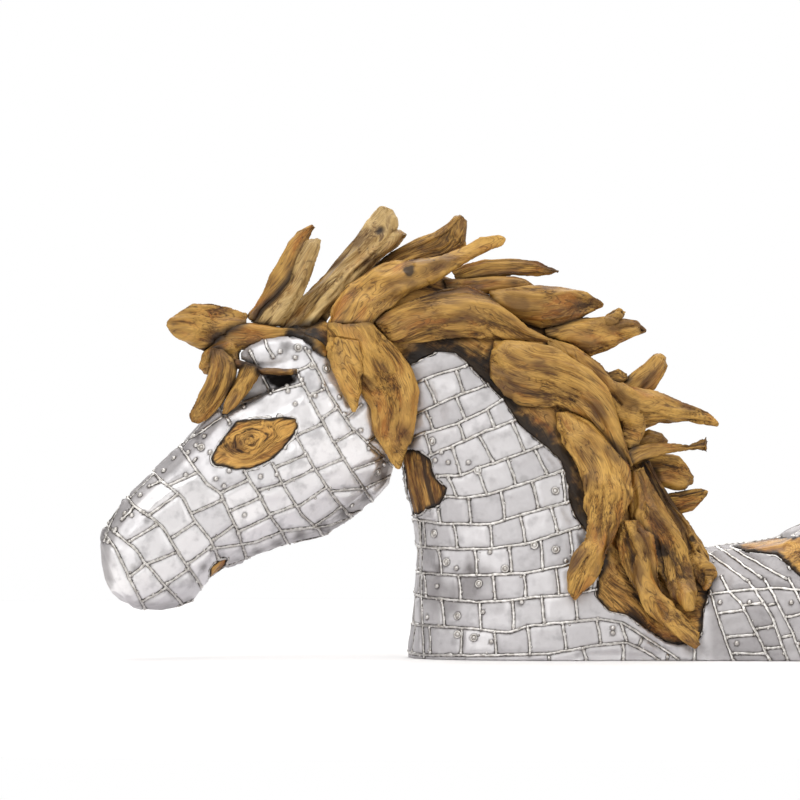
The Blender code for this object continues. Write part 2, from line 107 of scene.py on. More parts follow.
def noise(points, seed=0):
    """Smooth noise from -1 to 1 at an array of points, one cell to a unit."""
    cell = np.floor(points).astype(np.int64)
    part = points - cell
    ease = part * part * (3 - 2 * part)
    total = np.zeros(len(points))
    for corner in range(8):
        step = np.array([(corner >> k) & 1 for k in range(3)])
        at = cell + step
        mix = (at[:, 0] * 73856093) ^ (at[:, 1] * 19349663) ^ (at[:, 2] * 83492791) ^ (seed * 9176263)
        mix = ((mix ^ (mix >> 13)) * 1274126177) & 0x7FFFFFFF
        mix = (mix ^ (mix >> 15)) & 0xFFFF
        total += np.prod(np.where(step, ease, 1 - ease), axis=1) * (mix / 32767.5 - 1)
    return total


def ridged(points, seed):
    """Noise with sharp crests: one minus the size of a smooth noise."""
    return 1 - np.abs(noise(points, seed)) * 2


print("noise at the origin", noise(np.zeros((1, 3)))[0])

# %% [markdown]
# A mesh of a hundred thousand corners is slow to walk through one corner at a time. Blender can hand all its
# corners over at once, so the shaping below is done on whole arrays and written back in one go.

# %% Read and write a mesh
def read(items, name, width, kind=float):
    """Array of one property of a mesh's corners, edges or loops."""
    out = np.empty(len(items) * width, kind)
    items.foreach_get(name, out)
    return out.reshape(-1, width)


def corners(piece):
    """Where the corners are."""
    return read(piece.data.vertices, "co", 3)


def normals(piece):
    """Which way the surface faces at each corner."""
    return read(piece.data.vertex_normals, "vector", 3)


def edges(piece):
    """The two corners of each edge."""
    return read(piece.data.edges, "vertices", 2, np.int32)


def reshape(piece, co):
    """Moves the corners, and keeps them inside the CAD box."""
    low, high = np.array(CAD_BOX[0]), np.array(CAD_BOX[1])
    piece.data.vertices.foreach_set("co", np.clip(co, low, high).ravel())
    piece.data.update()


def write(piece, name, values):
    """Stores a value for each corner, which a material can read by its name."""
    kind = "FLOAT_VECTOR" if values.ndim == 2 else "FLOAT"
    made = piece.data.attributes.new(name, kind, "POINT")
    made.data.foreach_set("vector" if values.ndim == 2 else "value", values.astype(np.float32).ravel())


print("mesh helpers ready")

# %% [markdown]
# A few more tools are needed throughout. One evens out a mesh, and the others say how far its corners are
# from something else. Search trees make that quick.

# %% Smooth and measure
def relax(co, pairs, free, rounds):
    """Evens out a mesh without shrinking it: each round pulls in, then pushes back."""
    count = np.bincount(pairs.ravel(), minlength=len(co))[:, None]
    for turn in range(rounds * 2):
        total = np.empty_like(co)
        for k in range(3):
            total[:, k] = np.bincount(pairs[:, 0], co[pairs[:, 1], k], len(co))
            total[:, k] += np.bincount(pairs[:, 1], co[pairs[:, 0], k], len(co))
        co = co + (total / count - co) * (0.5 if turn % 2 == 0 else -0.52) * free[:, None]
    return co


def tree_of(*names):
    """Search tree over the faces of some CAD nodes."""
    points, faces = [], []
    for name in names:
        mesh = nodes[name].data
        start = len(points)
        points += [v.co.copy() for v in mesh.vertices]
        faces += [[start + i for i in p.vertices] for p in mesh.polygons]
    return BVHTree.FromPolygons(points, faces)


def points_tree(points):
    """Search tree over some points."""
    tree = KDTree(len(points))
    for i, p in enumerate(points):
        tree.insert(p, i)
    tree.balance()
    return tree


def gaps(co, tree, most=0.05):
    """Distance from each point to the nearest face, up to a limit."""
    out = np.full(len(co), most)
    for i, p in enumerate(co):
        hit = tree.find_nearest(p, most)
        if hit[0] is not None:
            out[i] = hit[3]
    return out


INLAYS = [n for n in nodes if n.split("_")[0] in ("mane", "eye", "mouth", "throat", "saddle")]
inlay_tree = tree_of(*INLAYS)
print(len(nodes), "nodes,", len(INLAYS), "of them inlays")

# %% [markdown]
# A piece starts as a copy of its CAD node. The node's facets are large and loose, so they are merged and
# rebuilt as an even skin of small quads, which can then be beaten or carved. Operators act on whatever is
# selected, and the CAD nodes come in selected, so a piece is always picked alone first.

# %% Start a piece
def pick(*pieces):
    """Selects these pieces alone, and makes the first one active."""
    bpy.ops.object.select_all(action="DESELECT")
    for piece in pieces:
        piece.select_set(True)
    if pieces:
        bpy.context.view_layer.objects.active = pieces[0]


def new_piece(name, mesh):
    """Adds a piece to the scene and picks it."""
    piece = bpy.data.objects.new(name, mesh)
    bpy.context.scene.collection.objects.link(piece)
    pick(piece)
    return piece


def on_all_faces(operator, **settings):
    """Runs one operator of edit mode on the whole of the active piece."""
    bpy.ops.object.mode_set(mode="EDIT")
    bpy.ops.mesh.select_all(action="SELECT")
    operator(**settings)
    bpy.ops.object.mode_set(mode="OBJECT")


def fresh(node, name, voxel):
    """New piece on a CAD node: its faces merged, then rebuilt as an even skin of small quads."""
    piece = new_piece(name, nodes[node].data.copy())
    on_all_faces(bpy.ops.mesh.remove_doubles, threshold=0.00001)
    piece.data.remesh_voxel_size = voxel
    bpy.ops.object.voxel_remesh()
    piece.data.materials.clear()
    bpy.ops.object.shade_smooth()
    return piece


print("ready to start pieces")

# %% [markdown]
# ## The steel skin
# On the real horse, sheets the size of playing cards are cut, bent over the form and welded edge to edge. The
# CAD solid gives the form in flat facets. Here it's rebuilt in 4.7 mm quads and relaxed, apart from the
# borders along the wood and the two flat cuts, which stay crisp.

# %% Rebuild the skin
SKIN_VOXEL = 0.0047
CRISP_RIM, CRISP_CUT = 0.005, 0.004   # how near the wood and the flat cuts the mesh is left as it is
skin = fresh("steel_skin", "plated_skin", SKIN_VOXEL)
pairs = edges(skin)
co = corners(skin)
to_wood = gaps(co, inlay_tree, 0.03)
free = (to_wood > CRISP_RIM) & (co[:, 2] > CRISP_CUT) & (co[:, 0] < REAR_X - CRISP_CUT)
co = relax(co, pairs, free.astype(float), 14)
reshape(skin, co)
print("skin", len(co), "corners")

# %% [markdown]
# Seams come in two kinds. Courses run right round the body, and joints cross from one course to the next,
# bonded like bricks. A few seams run lengthwise. All are listed as places on the elevation, for the head, the
# neck and the back.

# %% Where the seams run
COURSES = (
    ((109, 534), (119, 546), (131, 571), (144, 598), (150, 614)),
    ((98, 514), (110, 524), (128, 538), (140, 547), (147, 559), (157, 570), (166, 582), (182, 599),
     (190, 616)),
    ((120, 486), (130, 496), (136, 504), (157, 518), (166, 526), (180, 550), (188, 562), (199, 578),
     (210, 598)),
    ((143, 458), (153, 470), (165, 481), (185, 496), (196, 518), (212, 538), (217, 549), (226, 572)),
    ((168, 428), (188, 455), (209, 483), (222, 492), (234, 518), (240, 532), (248, 560)),
    ((244, 466), (251, 480), (260, 492), (271, 515), (280, 527), (287, 541), (292, 556)),
    ((262, 446), (272, 460), (284, 484), (304, 516), (320, 530), (328, 546)),
    ((290, 418), (297, 436), (318, 472), (335, 498), (351, 517), (358, 534)),
    ((297, 372), (306, 388), (321, 418), (345, 460), (375, 505), (384, 522)),
    ((306, 349), (316, 366), (330, 394), (351, 427), (387, 460), (402, 476)),
    ((400, 392), (414, 384), (438, 374), (457, 369), (480, 360)),
    ((400, 420), (416, 414), (454, 397), (484, 386), (508, 376)),
    ((396, 443), (410, 438), (423, 433), (453, 425), (485, 410), (506, 397), (530, 386)),
    ((400, 470), (430, 455), (463, 441), (480, 433), (514, 420), (540, 408)),
    ((398, 478), (436, 476), (460, 475), (476, 468), (506, 458), (531, 449), (560, 436)),
    ((398, 500), (446, 496), (466, 497), (486, 494), (516, 485), (559, 471), (590, 460)),
    ((390, 516), (407, 518), (440, 523), (470, 523), (490, 523), (519, 514), (566, 501), (600, 490)),
    ((394, 544), (417, 546), (456, 548), (490, 547), (526, 542), (567, 529), (610, 516)),
    ((394, 570), (420, 572), (460, 574), (493, 573), (524, 571), (566, 563), (610, 552)),
    ((394, 592), (425, 596), (478, 600), (516, 597), (543, 594), (567, 592), (610, 584)),
    ((390, 622), (426, 624), (471, 626), (508, 630), (526, 623), (596, 616), (620, 620), (660, 646),
     (676, 657)),
    ((390, 652), (425, 653), (493, 652), (549, 650), (591, 642), (624, 639), (650, 652), (662, 664)),
    ((700, 560), (707, 589), (716, 622), (731, 664)),
    ((718, 574), (725, 589), (737, 601), (752, 631), (768, 664)),
    ((744, 578), (752, 589), (767, 613), (779, 649), (784, 664)),
    ((760, 576), (767, 589), (785, 625), (800, 664)),
    ((784, 576), (792, 592), (808, 628), (822, 664)),
    ((812, 596), (822, 616), (838, 652)),
)
LENGTHWISE = (
    ((108, 534), (125, 500), (150, 470), (177, 447), (200, 433), (222, 418), (243, 403), (268, 393),
     (304, 384)),
    ((212, 548), (258, 541), (282, 531), (330, 525), (356, 516)),
    ((265, 338), (269, 348), (275, 359)),
    ((228, 370), (236, 390), (246, 408)),
    ((211, 392), (222, 408), (232, 424)),
    ((250, 350), (262, 374), (272, 394)),
    ((420, 520), (422, 560), (421, 600), (424, 657)),
    ((706, 592), (740, 588), (770, 586), (800, 588), (836, 604)),
    ((702, 549), (744, 579)),
    ((714, 544), (759, 577)),
    ((730, 547), (782, 577)),
)
JOINTS = (
    (132, 575, 148, 562), (147, 598, 165, 588), (135, 538, 163, 521), (148, 563, 180, 550),
    (166, 584, 190, 568), (125, 518, 137, 505), (152, 514, 180, 493), (176, 535, 203, 517),
    (190, 562, 213, 545), (150, 486, 163, 480), (172, 484, 203, 470), (192, 513, 224, 499),
    (213, 540, 238, 522), (188, 468, 200, 456), (222, 492, 254, 477), (231, 510, 263, 496),
    (240, 530, 274, 514), (258, 490, 285, 482), (271, 514, 303, 502), (282, 530, 318, 526),
    (276, 467, 304, 455), (283, 484, 312, 470), (297, 507, 327, 487), (314, 526, 342, 506),
    (300, 434, 329, 421), (315, 470, 347, 457), (330, 491, 367, 488), (350, 514, 376, 506),
    (310, 396, 332, 385), (322, 419, 345, 402), (335, 442, 357, 430), (352, 470, 384, 458),
    (364, 489, 394, 474), (346, 419, 362, 404), (368, 442, 384, 430), (296, 372, 318, 362),
    (428, 386, 436, 404), (456, 371, 463, 394), (426, 412, 433, 430), (456, 397, 465, 420),
    (425, 434, 431, 454), (459, 425, 464, 441), (487, 410, 494, 428), (421, 458, 430, 476),
    (452, 447, 460, 474), (479, 437, 493, 462), (512, 424, 523, 450), (448, 477, 456, 496),
    (477, 470, 486, 494), (507, 460, 515, 485), (534, 450, 546, 474), (436, 498, 440, 522),
    (468, 498, 470, 522), (500, 490, 503, 514), (531, 483, 537, 508), (561, 472, 564, 500),
    (423, 520, 425, 545), (453, 523, 457, 548), (489, 523, 491, 546), (519, 514, 524, 541),
    (550, 508, 556, 531), (438, 549, 441, 572), (474, 549, 476, 573), (508, 546, 510, 571),
    (539, 540, 541, 567), (568, 530, 571, 562), (424, 573, 426, 596), (458, 575, 460, 599),
    (492, 574, 494, 598), (523, 572, 524, 595), (554, 566, 557, 592), (587, 560, 588, 586),
    (441, 599, 444, 624), (478, 600, 480, 627), (511, 599, 512, 629), (540, 595, 542, 621),
    (572, 592, 575, 617), (429, 625, 430, 652), (461, 627, 460, 652), (493, 630, 495, 652),
    (526, 624, 528, 650), (560, 620, 564, 648), (594, 617, 598, 642), (618, 621, 624, 639),
    (640, 632, 634, 645), (444, 653, 444, 660), (478, 653, 478, 660), (512, 652, 512, 660),
    (546, 651, 547, 660), (580, 645, 584, 660), (620, 640, 620, 660), (666, 645, 662, 660),
    (690, 640, 690, 660), (713, 611, 742, 607), (720, 634, 752, 631), (738, 603, 760, 600),
    (750, 626, 773, 622), (757, 645, 779, 643), (760, 603, 778, 600), (776, 634, 788, 631),
    (780, 614, 800, 610), (792, 640, 812, 637), (800, 606, 820, 604), (812, 622, 828, 622),
    (724, 650, 760, 650),
)

# %% [markdown]
# Washers and nails stand on the plates, and here and there the torch or a dirty glove has left a smudge. They
# are places too, and a smudge has its reach in steps. The last seven smudges run along the jaw where it turns
# under, and are painted shade.

# %% Where the washers, nails and smudges are
WASHERS = (
    (432, 441), (477, 470), (554, 490), (434, 533), (533, 544), (554, 548), (446, 561), (504, 567),
    (478, 582), (457, 614), (473, 635), (313, 366), (327, 369), (378, 472), (457, 632), (299, 348),
    (203, 447),
)
NAILS = (
    (564, 559), (427, 616), (490, 639), (435, 460), (448, 462), (289, 391), (340, 397), (369, 448),
    (361, 430), (246, 514), (226, 485), (324, 386), (456, 567), (198, 445), (212, 452), (240, 532),
    (352, 505), (296, 404), (188, 474), (143, 494), (222, 565), (610, 630), (745, 600), (786, 600),
    (190, 452), (196, 436), (206, 436), (176, 458), (166, 470), (128, 512), (119, 528), (112, 540),
    (135, 514), (218, 478), (231, 470), (262, 476), (278, 474), (310, 352), (296, 358), (281, 352),
    (288, 386), (302, 380), (316, 396), (345, 414), (384, 464), (441, 452), (468, 462), (489, 551),
    (437, 585), (520, 600), (482, 610), (610, 625), (716, 600), (732, 640),
)
SMUDGES = (
    (288, 346, 8), (323, 386, 5), (366, 402, 6), (236, 424, 6), (198, 436, 5), (519, 600, 5), (470, 568, 5),
    (150, 520, 4), (137, 566, 5), (206, 566, 5), (700, 600, 6), (410, 446, 6), (440, 566, 5), (258, 550, 6),
    (278, 543, 7), (300, 535, 8), (322, 527, 8), (345, 513, 8), (366, 499, 7), (384, 478, 6),
)
print(len(WASHERS), "washers,", len(NAILS), "nails,", len(SMUDGES), "smudges")

# %% [markdown]
# A seam on the drawing becomes a seam on the steel where a curtain, hung from the line and running straight
# along the view, cuts the skin. Each corner of the mesh is given its distance to the line, less than nothing
# on one side. Wherever an edge changes sign, the seam crosses it, and the faces link the crossings up.

# %% Follow a change of sign over the skin
BARE_FROM = 0.003        # steel nearer the wood than this has no seams
FLAT_CUT = -0.985        # a surface that faces down more squarely than this is the flat cut
grid = on_grid(co)
skin_normals = normals(skin)
bare = (to_wood > BARE_FROM) & (skin_normals[:, 2] > FLAT_CUT) & (co[:, 0] < REAR_X - 0.002)
quads = read(skin.data.loops, "edge_index", 1, np.int32).reshape(-1, 4)


def cross(field, use):
    """Chains of (points, normals) where a field of distances changes sign on the skin."""
    f0, f1 = field[pairs[:, 0]], field[pairs[:, 1]]
    crossed = use[pairs[:, 0]] & use[pairs[:, 1]] & (f0 * f1 < 0)
    rows = quads[crossed[quads].sum(1) == 2]
    links = {}
    for a, b in rows[crossed[rows]].reshape(-1, 2).tolist():
        links.setdefault(a, []).append(b)
        links.setdefault(b, []).append(a)
    chains, seen = [], set()
    for start in sorted(links, key=lambda e: (len(links[e]), e)):
        if start in seen:
            continue
        chain = [start]
        seen.add(start)
        onward = links[start][:1]
        while onward:
            seen.add(onward[0])
            chain.append(onward[0])
            onward = [e for e in links[chain[-1]] if e not in seen]
        if len(chain) > 3:
            e = np.array(chain)
            w = (f0[e] / (f0[e] - f1[e]))[:, None]
            i, j = pairs[e, 0], pairs[e, 1]
            chains.append((co[i] * (1 - w) + co[j] * w, skin_normals[i] * (1 - w) + skin_normals[j] * w))
    return chains


print(len(quads), "quads,", bare.sum(), "corners free for seams")

# %% [markdown]
# The curtain is made one stretch of the line at a time, and each corner keeps its nearest stretch. The first
# and last stretch end where the line does, so a seam doesn't run on past its end.

# %% Hang a curtain from a line
BESIDE = 8   # how far to each side of a line its curtain is looked for, in steps


def hang(line):
    """Field of distances to a curtain hung from a line, and the corners beside it."""
    near = np.full(len(co), 1e9)
    field = np.zeros(len(co))
    inside = np.zeros(len(co), bool)
    line = [np.array(p, float) for p in line]
    for k, (a, b) in enumerate(zip(line, line[1:])):
        along = b - a
        t = (grid - a) @ along / (along @ along)
        off = grid - a - np.clip(t, 0, 1)[:, None] * along
        gap = np.hypot(off[:, 0], off[:, 1])
        side = np.where(along[0] * (grid[:, 1] - a[1]) - along[1] * (grid[:, 0] - a[0]) >= 0, 1.0, -1.0)
        closer = gap < near
        near[closer] = gap[closer]
        field[closer] = (gap * side)[closer]
        ok = ~((k == 0) & (t < 0)) & ~((k == len(line) - 2) & (t > 1))
        inside[closer] = ok[closer]
    return field, inside & bare & (near < BESIDE)


print("curtains ready")

# %% [markdown]
# A welder closes each joint on the course it meets. So the ends of a drawn joint are moved along it to the
# nearest course, if there's one close by.

# %% Trace the seams on the skin
MEETS_WITHIN = 9.0   # steps


def met(end, other):
    """End of a joint, moved along it to the nearest course."""
    end, other = np.array(end, float), np.array(other, float)
    aim = (end - other) / np.linalg.norm(end - other)
    best = MEETS_WITHIN
    for line in COURSES + LENGTHWISE:
        for a, b in zip(line, line[1:]):
            run = np.subtract(b, a)
            cross_of = aim[0] * run[1] - aim[1] * run[0]
            if abs(cross_of) > 1e-6:
                to = np.subtract(a, end)
                t = (to[0] * run[1] - to[1] * run[0]) / cross_of
                s = (to[0] * aim[1] - to[1] * aim[0]) / cross_of
                if -0.05 <= s <= 1.05 and abs(t) < abs(best):
                    best = t
    return end + aim * best if best < MEETS_WITHIN else end


seams = []
for line in COURSES + LENGTHWISE:
    seams += cross(*hang(line))
for x0, y0, x1, y1 in JOINTS:
    a, b = met((x0, y0), (x1, y1)), met((x1, y1), (x0, y0))
    seams += cross(*hang((a, (a + b) / 2 + (0.6, 0), b)))
print(len(seams), "runs of seam,", sum(len(s[0]) for s in seams), "points")

# %% [markdown]
# The front of the neck, the ridge of the nose and the top of the back turn away from the side view, so the
# drawing can't joint them. There the courses are split along planes that run lengthwise, and staggered. The
# head is turned, so its planes are turned with it, about the poll.

# %% Joints on the surfaces that turn away
POLL = 330.0
HEAD_TURN = math.radians(18.0)
CHIN, ALONG_HEAD = (125, 580), np.array((0.66, -0.75))
TO_THE_BROW = np.array((-0.75, 0.0, 0.66))
NECK_ROWS = (478, 500, 518, 544, 570, 592, 622, 653)
HEAD_ROWS = (-25, 4, 18, 33, 67, 101, 140, 172, 205)
pivot = spot(POLL, FLOOR)
aside = -math.sin(HEAD_TURN) * (co[:, 0] - pivot.x) + math.cos(HEAD_TURN) * co[:, 1]
along_head = (grid - CHIN) @ ALONG_HEAD
for k, (top, bottom) in enumerate(zip(NECK_ROWS, NECK_ROWS[1:])):
    front = bare & (grid[:, 1] > top) & (grid[:, 1] < bottom) & (grid[:, 0] > 385) & (grid[:, 0] < 470)
    front &= skin_normals[:, 0] < -0.5
    for y in ((-0.018, 0.03) if k % 2 else (-0.036, 0.006, 0.05)):
        seams += cross(co[:, 1] - y, front)
for k, (start, end) in enumerate(zip(HEAD_ROWS, HEAD_ROWS[1:])):
    ridge = bare & (along_head > start) & (along_head < end) & (grid[:, 0] < 330)
    ridge &= skin_normals @ TO_THE_BROW > 0.8
    seams += cross(aside - (0.008 if k % 2 else -0.010), ridge)
    under = bare & (along_head > start) & (along_head < end) & (grid[:, 0] < 345)
    under &= skin_normals @ -TO_THE_BROW > 0.75
    seams += cross(aside - (0.006 if k % 2 else -0.012), under)
back = bare & (grid[:, 0] > 700) & (skin_normals[:, 2] > 0.8)
for y in (-0.05, 0.0, 0.05):
    seams += cross(co[:, 1] - y, back)
print(len(seams), "runs of seam in all")

# %% [markdown]
# To beat one plate and leave the next alone, the script has to know which corners belong together. It lets
# each corner take the lowest number among its neighbours, over and over, and the seams stop the numbers. The
# strip by the seams is then shared out to the plates beside it.

# %% Split the skin into plates
seam_tree = points_tree(np.concatenate([p for p, _ in seams]))
to_seam = np.array([seam_tree.find(p)[2] for p in co])
inside = bare & (to_seam > 0.0032) & (to_wood > 0.004)
label = np.arange(len(co))
joined = pairs[inside[pairs].all(1)]
while True:
    low = np.minimum(label[joined[:, 0]], label[joined[:, 1]])
    lower = label.copy()
    np.minimum.at(lower, joined[:, 0], low)
    np.minimum.at(lower, joined[:, 1], low)
    lower = lower[lower]
    if (lower == label).all():
        break
    label = lower
label[~inside] = -1
for _ in range(8):
    for a, b in ((0, 1), (1, 0)):
        empty = label[pairs[:, a]] < 0
        label[pairs[empty, a]] = label[pairs[empty, b]]
plate_of = np.unique(label, return_inverse=True)[1]
plates = plate_of.max() + 1
plate_size = np.bincount(plate_of)
print(plates, "plates, the largest of", plate_size.max(), "corners")

# %% [markdown]
# A hand-beaten plate is nearly flat in the middle and turns down to its welds, and no two lie at quite the
# same angle. That is what breaks the reflections up. So each plate is flattened, tipped a little and dented,
# all of it fading out toward the weld. One plate low on the neck has a deep crease.

# %% Beat the plates
PLATE_RISE, WELD_SINK = 0.0013, 0.0006
FLATTEN, MOST_FLATTENED = 0.75, 0.0022
TIP, MOST_TIPPED = 0.045, 0.0014
BROAD_DENT, SMALL_DENT = 0.0007, 0.0004
CREASE = 0.0034


def mean(values):
    """Mean over each plate of some values at the corners."""
    total = [np.bincount(plate_of, values[:, k], plates) for k in range(3)]
    return np.stack([part / plate_size for part in total], axis=1)


dice = np.random.default_rng(11)
facing = mean(skin_normals)
facing /= np.linalg.norm(facing, axis=1)[:, None] + 1e-9
away = co - mean(co)[plate_of]
bulge = (away * facing[plate_of]).sum(1)
tip = (away * dice.normal(0, TIP, (plates, 3))[plate_of]).sum(1)
tone = dice.random(plates)[plate_of]
fall = eased((to_seam - 0.0015) / 0.008)
edge_fade = np.clip((to_wood - 0.001) / 0.005, 0, 1)
edge_fade *= np.clip(co[:, 2] / 0.006, 0, 1) * np.clip((REAR_X - co[:, 0]) / 0.006, 0, 1) * bare
lift = PLATE_RISE + np.clip(-FLATTEN * bulge, -MOST_FLATTENED, MOST_FLATTENED)
lift = lift + np.clip(tip, -MOST_TIPPED, MOST_TIPPED)
lift += BROAD_DENT * noise(co / 0.026, 3) + SMALL_DENT * noise(co / 0.011, 4)
crease = ((grid[:, 0] - 518) + 0.35 * (grid[:, 1] - 600)) / 5, (grid[:, 1] - 602) / 13
lift -= CREASE * np.exp(-crease[0] ** 2 - crease[1] ** 2)
lift = lift * fall - WELD_SINK * (1 - fall)
reshape(skin, co + skin_normals * (lift * edge_fade)[:, None])
skin_tree = BVHTree.FromPolygons([v.co for v in skin.data.vertices], [p.vertices for p in skin.data.polygons])
print("plates lifted by up to", round(float((lift * edge_fade).max()) * 1000, 2), "mm")

# %% [markdown]
# The material needs to know more than the shape: how near the weld is, which plate it's on, where a shadow is
# painted, and where the polish is dull or shade is painted. Under the wooden lip of the brow a near-black
# shadow is painted, with a weaker one above the eye, and the cheek is ground cleaner than the rest. The neck,
# the rump and one band of plates low on the neck are duller. The ridge of the nose and the underside of the
# jaw are darker because of which way they face, which is painted shade.

# %% Wear, polish, painted shade and painted shadow on the skin
across, down = grid[:, 0], grid[:, 1]
ground = np.exp(-from_place(grid, 338, 455, 50, 52) ** 2)
write(skin, "seam", to_seam + 0.0009 * ground)
write(skin, "plate", tone * (1 - 0.85 * ground))
write(skin, "wood_near", to_wood)
# A shadow is painted here, on the near side only: near black under the wooden lip of the brow, weaker above
# the eye.
near = np.clip(0.3 - skin_normals[:, 1] * 2, 0, 1)
rag = 0.3 * noise(co / 0.009, 31)
lip = from_place(grid, 281, 380, 15, 7) + rag
brow = from_place(grid, 252, 400, 34, 15) + rag
write(skin, "painted_shadow", np.maximum(np.clip(1.7 - lip * 1.2, 0, 0.9), np.clip(1.2 - brow, 0, 1) * 0.42) * near)
row = np.exp(-((across - 462) / 50) ** 4 - ((down - 572) / 52) ** 4) * (0.7 + 0.5 * noise(co / 0.03, 33))
rump = np.clip((across - 690) / 20, 0, 1) * 0.78
# The ridge and jaw terms darken the steel because of which way it faces, which is painted shade; the row,
# rump and neck terms are duller polish.
ridge = np.clip((skin_normals @ TO_THE_BROW - 0.20) * 2.2, 0, 0.7) * (across < 330)
jaw = np.clip((-skin_normals[:, 2] - 0.45) * 1.8, 0, 0.5) * (across < 400)
neck = np.clip((across - 392) / 15, 0, 1) * 0.48
dull_and_shade = np.clip(np.max((row, rump, ridge, jaw, neck), axis=0), 0, 1)
write(skin, "dull_and_shade", dull_and_shade)
print("mean wear", round(float(dull_and_shade.mean()), 2))

# %% [markdown]
# ## The weld beads
# Each seam is a bead of filler laid by hand, so it swells, thins and wanders. A bead is a tube with a flat
# underside sunk in the plates: its section is set along the chain of points, square to the skin. Its flanks
# are marked, and darkened there, partly as soot and partly as painted shade where bead meets plate.

# %% The section of a bead
SECTION = ((-3.9, -0.8), (-2.7, 0.5), (-1.5, 1.7), (0.0, 1.35), (1.5, 1.7), (2.7, 0.5), (3.9, -0.8),
           (0.0, -1.4))                                 # mm to the side and up
# The flanks are painted dark, partly soot and partly painted shade where the bead meets the plate.
FLANK = (1.0, 0.8, 0.1, 0.25, 0.1, 0.8, 1.0, 1.0)       # how sooty each point of the section is
END_FACES = ((0, 1, 6, 7), (1, 2, 5, 6), (2, 3, 4, 5))  # the four-sided faces that close an end
PACE = 0.0042                                           # between one ring of the tube and the next


def evened(points, turned):
    """Chain with its points spaced evenly and its small kinks smoothed out."""
    for _ in range(3):
        points[1:-1] = (points[:-2] + 2 * points[1:-1] + points[2:]) / 4
        turned[1:-1] = (turned[:-2] + 2 * turned[1:-1] + turned[2:]) / 4
    run = np.concatenate(([0], np.cumsum(np.linalg.norm(np.diff(points, axis=0), axis=1))))
    count = max(3, int(run[-1] / PACE) + 1)
    at = np.linspace(0, run[-1], count)
    out = [np.stack([np.interp(at, run, a[:, k]) for k in range(3)], axis=1) for a in (points, turned)]
    return out[0], out[1] / (np.linalg.norm(out[1], axis=1)[:, None] + 1e-9)


def bead_lines(points, turned, swell, rough):
    """The lines of a bead, one for each point of its section."""
    ahead = np.gradient(points, axis=0)
    ahead /= np.linalg.norm(ahead, axis=1)[:, None] + 1e-9
    across = np.cross(ahead, turned)
    across /= np.linalg.norm(across, axis=1)[:, None] + 1e-9
    fat = swell * (0.95 + rough * (0.24 * noise(points / 0.010, 21) + 0.20 * noise(points / 0.0045, 22)))
    wander = rough * (0.0011 * noise(points / 0.016, 23) + 0.0006 * noise(points / 0.006, 25))
    tall = 1 + rough * 0.38 * noise(points / 0.007, 24)
    fat[[1, -2]] *= 1.25
    tall[[1, -2]] *= 1.2
    fat[[0, -1]] *= 0.7
    lines = []
    for side, up in SECTION:
        spread = (side * 0.001 * fat + wander)[:, None] * across
        rise = (up * 0.001 * np.where(up > 0, tall * fat, 1.0))[:, None] * turned
        lines.append(points + spread + rise)
    return lines


print("a bead is", SECTION[6][0] - SECTION[0][0], "mm wide before it swells")

# %% [markdown]
# There are hundreds of beads, and as separate objects they would be slow to handle. So those of the head, of
# the neck and of the rim along the wood are each one piece.

# %% Lay the beads
def lay_beads(name, runs, swell, rough=1.0):
    """One piece of all the beads along some chains."""
    verts, faces, shade = [], [], []
    n = len(SECTION)
    start = 0
    for points, turned in runs:
        if len(points) < 4:
            continue
        points, turned = evened(points.copy(), turned.copy())
        verts += bead_lines(points, turned, swell, rough)
        m = len(points)
        for k in range(n):
            a, b = start + k * m + np.arange(m - 1), start + (k + 1) % n * m + np.arange(m - 1)
            faces.append(np.stack((a, a + 1, b + 1, b), axis=1))
            shade.append(np.full(m, FLANK[k]))
        ends = [[start + k * m for k in range(n)], [start + k * m + m - 1 for k in range(n)][::-1]]
        for four in END_FACES:
            faces.append(np.array([[e[k] for k in four] for e in ends]))
        start += n * m
    mesh = bpy.data.meshes.new(name)
    mesh.from_pydata(np.concatenate(verts).tolist(), [], np.concatenate(faces).tolist())
    piece = new_piece(name, mesh)
    write(piece, "flank", np.concatenate(shade))
    on_all_faces(bpy.ops.mesh.normals_make_consistent, inside=False)
    bpy.ops.object.shade_smooth()
    reshape(piece, corners(piece))
    print(name, len(piece.data.polygons), "faces")
    return piece


SWELL = 0.82                           # a seam's bead, against the section above
RIM_SWELL, RIM_ROUGH = 0.6, 2.4        # the bead along the wood is thinner and more ragged
RIM_GAP, RIM_WANDER = 0.0034, 0.0012   # it runs this far from the wood, and strays by this much
THROAT_X = spot(400, 0).x
by_wood = (to_wood < 0.012) & (to_wood > 0.0006) & (skin_normals[:, 2] > FLAT_CUT)
border = cross(to_wood - RIM_GAP - RIM_WANDER * noise(co / 0.02, 51), by_wood)
head_beads = lay_beads("weld_beads_head", [s for s in seams if s[0][:, 0].mean() < THROAT_X], SWELL)
neck_beads = lay_beads("weld_beads_neck", [s for s in seams if s[0][:, 0].mean() >= THROAT_X], SWELL)
rim_beads = lay_beads("weld_beads_rim", border, RIM_SWELL, RIM_ROUGH)

# %% [markdown]
# Washers with domed nails hold the sheets while they're welded, and some stay. One washer and one nail are
# modelled from a torus and a flattened ball, then copied to each place, square to the steel there. A copy
# keeps a mesh of its own, and at the end the copies are joined into one piece.

# %% Model once, copy often
def primitive(name, add_it, **settings):
    """Adds one of Blender's primitives under a name."""
    pick()
    add_it(**settings)
    piece = bpy.context.object
    piece.name = name
    return piece


def copy_of(model, stand):
    """Copy with its own mesh, set to stand somewhere."""
    made = model.copy()
    made.data = model.data.copy()
    made.data.transform(stand)
    bpy.context.scene.collection.objects.link(made)
    return made


def upright(at, normal):
    """Stand at a point, square to the surface there."""
    return Matrix.Translation(at) @ Vector(normal).to_track_quat("Z", "Y").to_matrix().to_4x4()


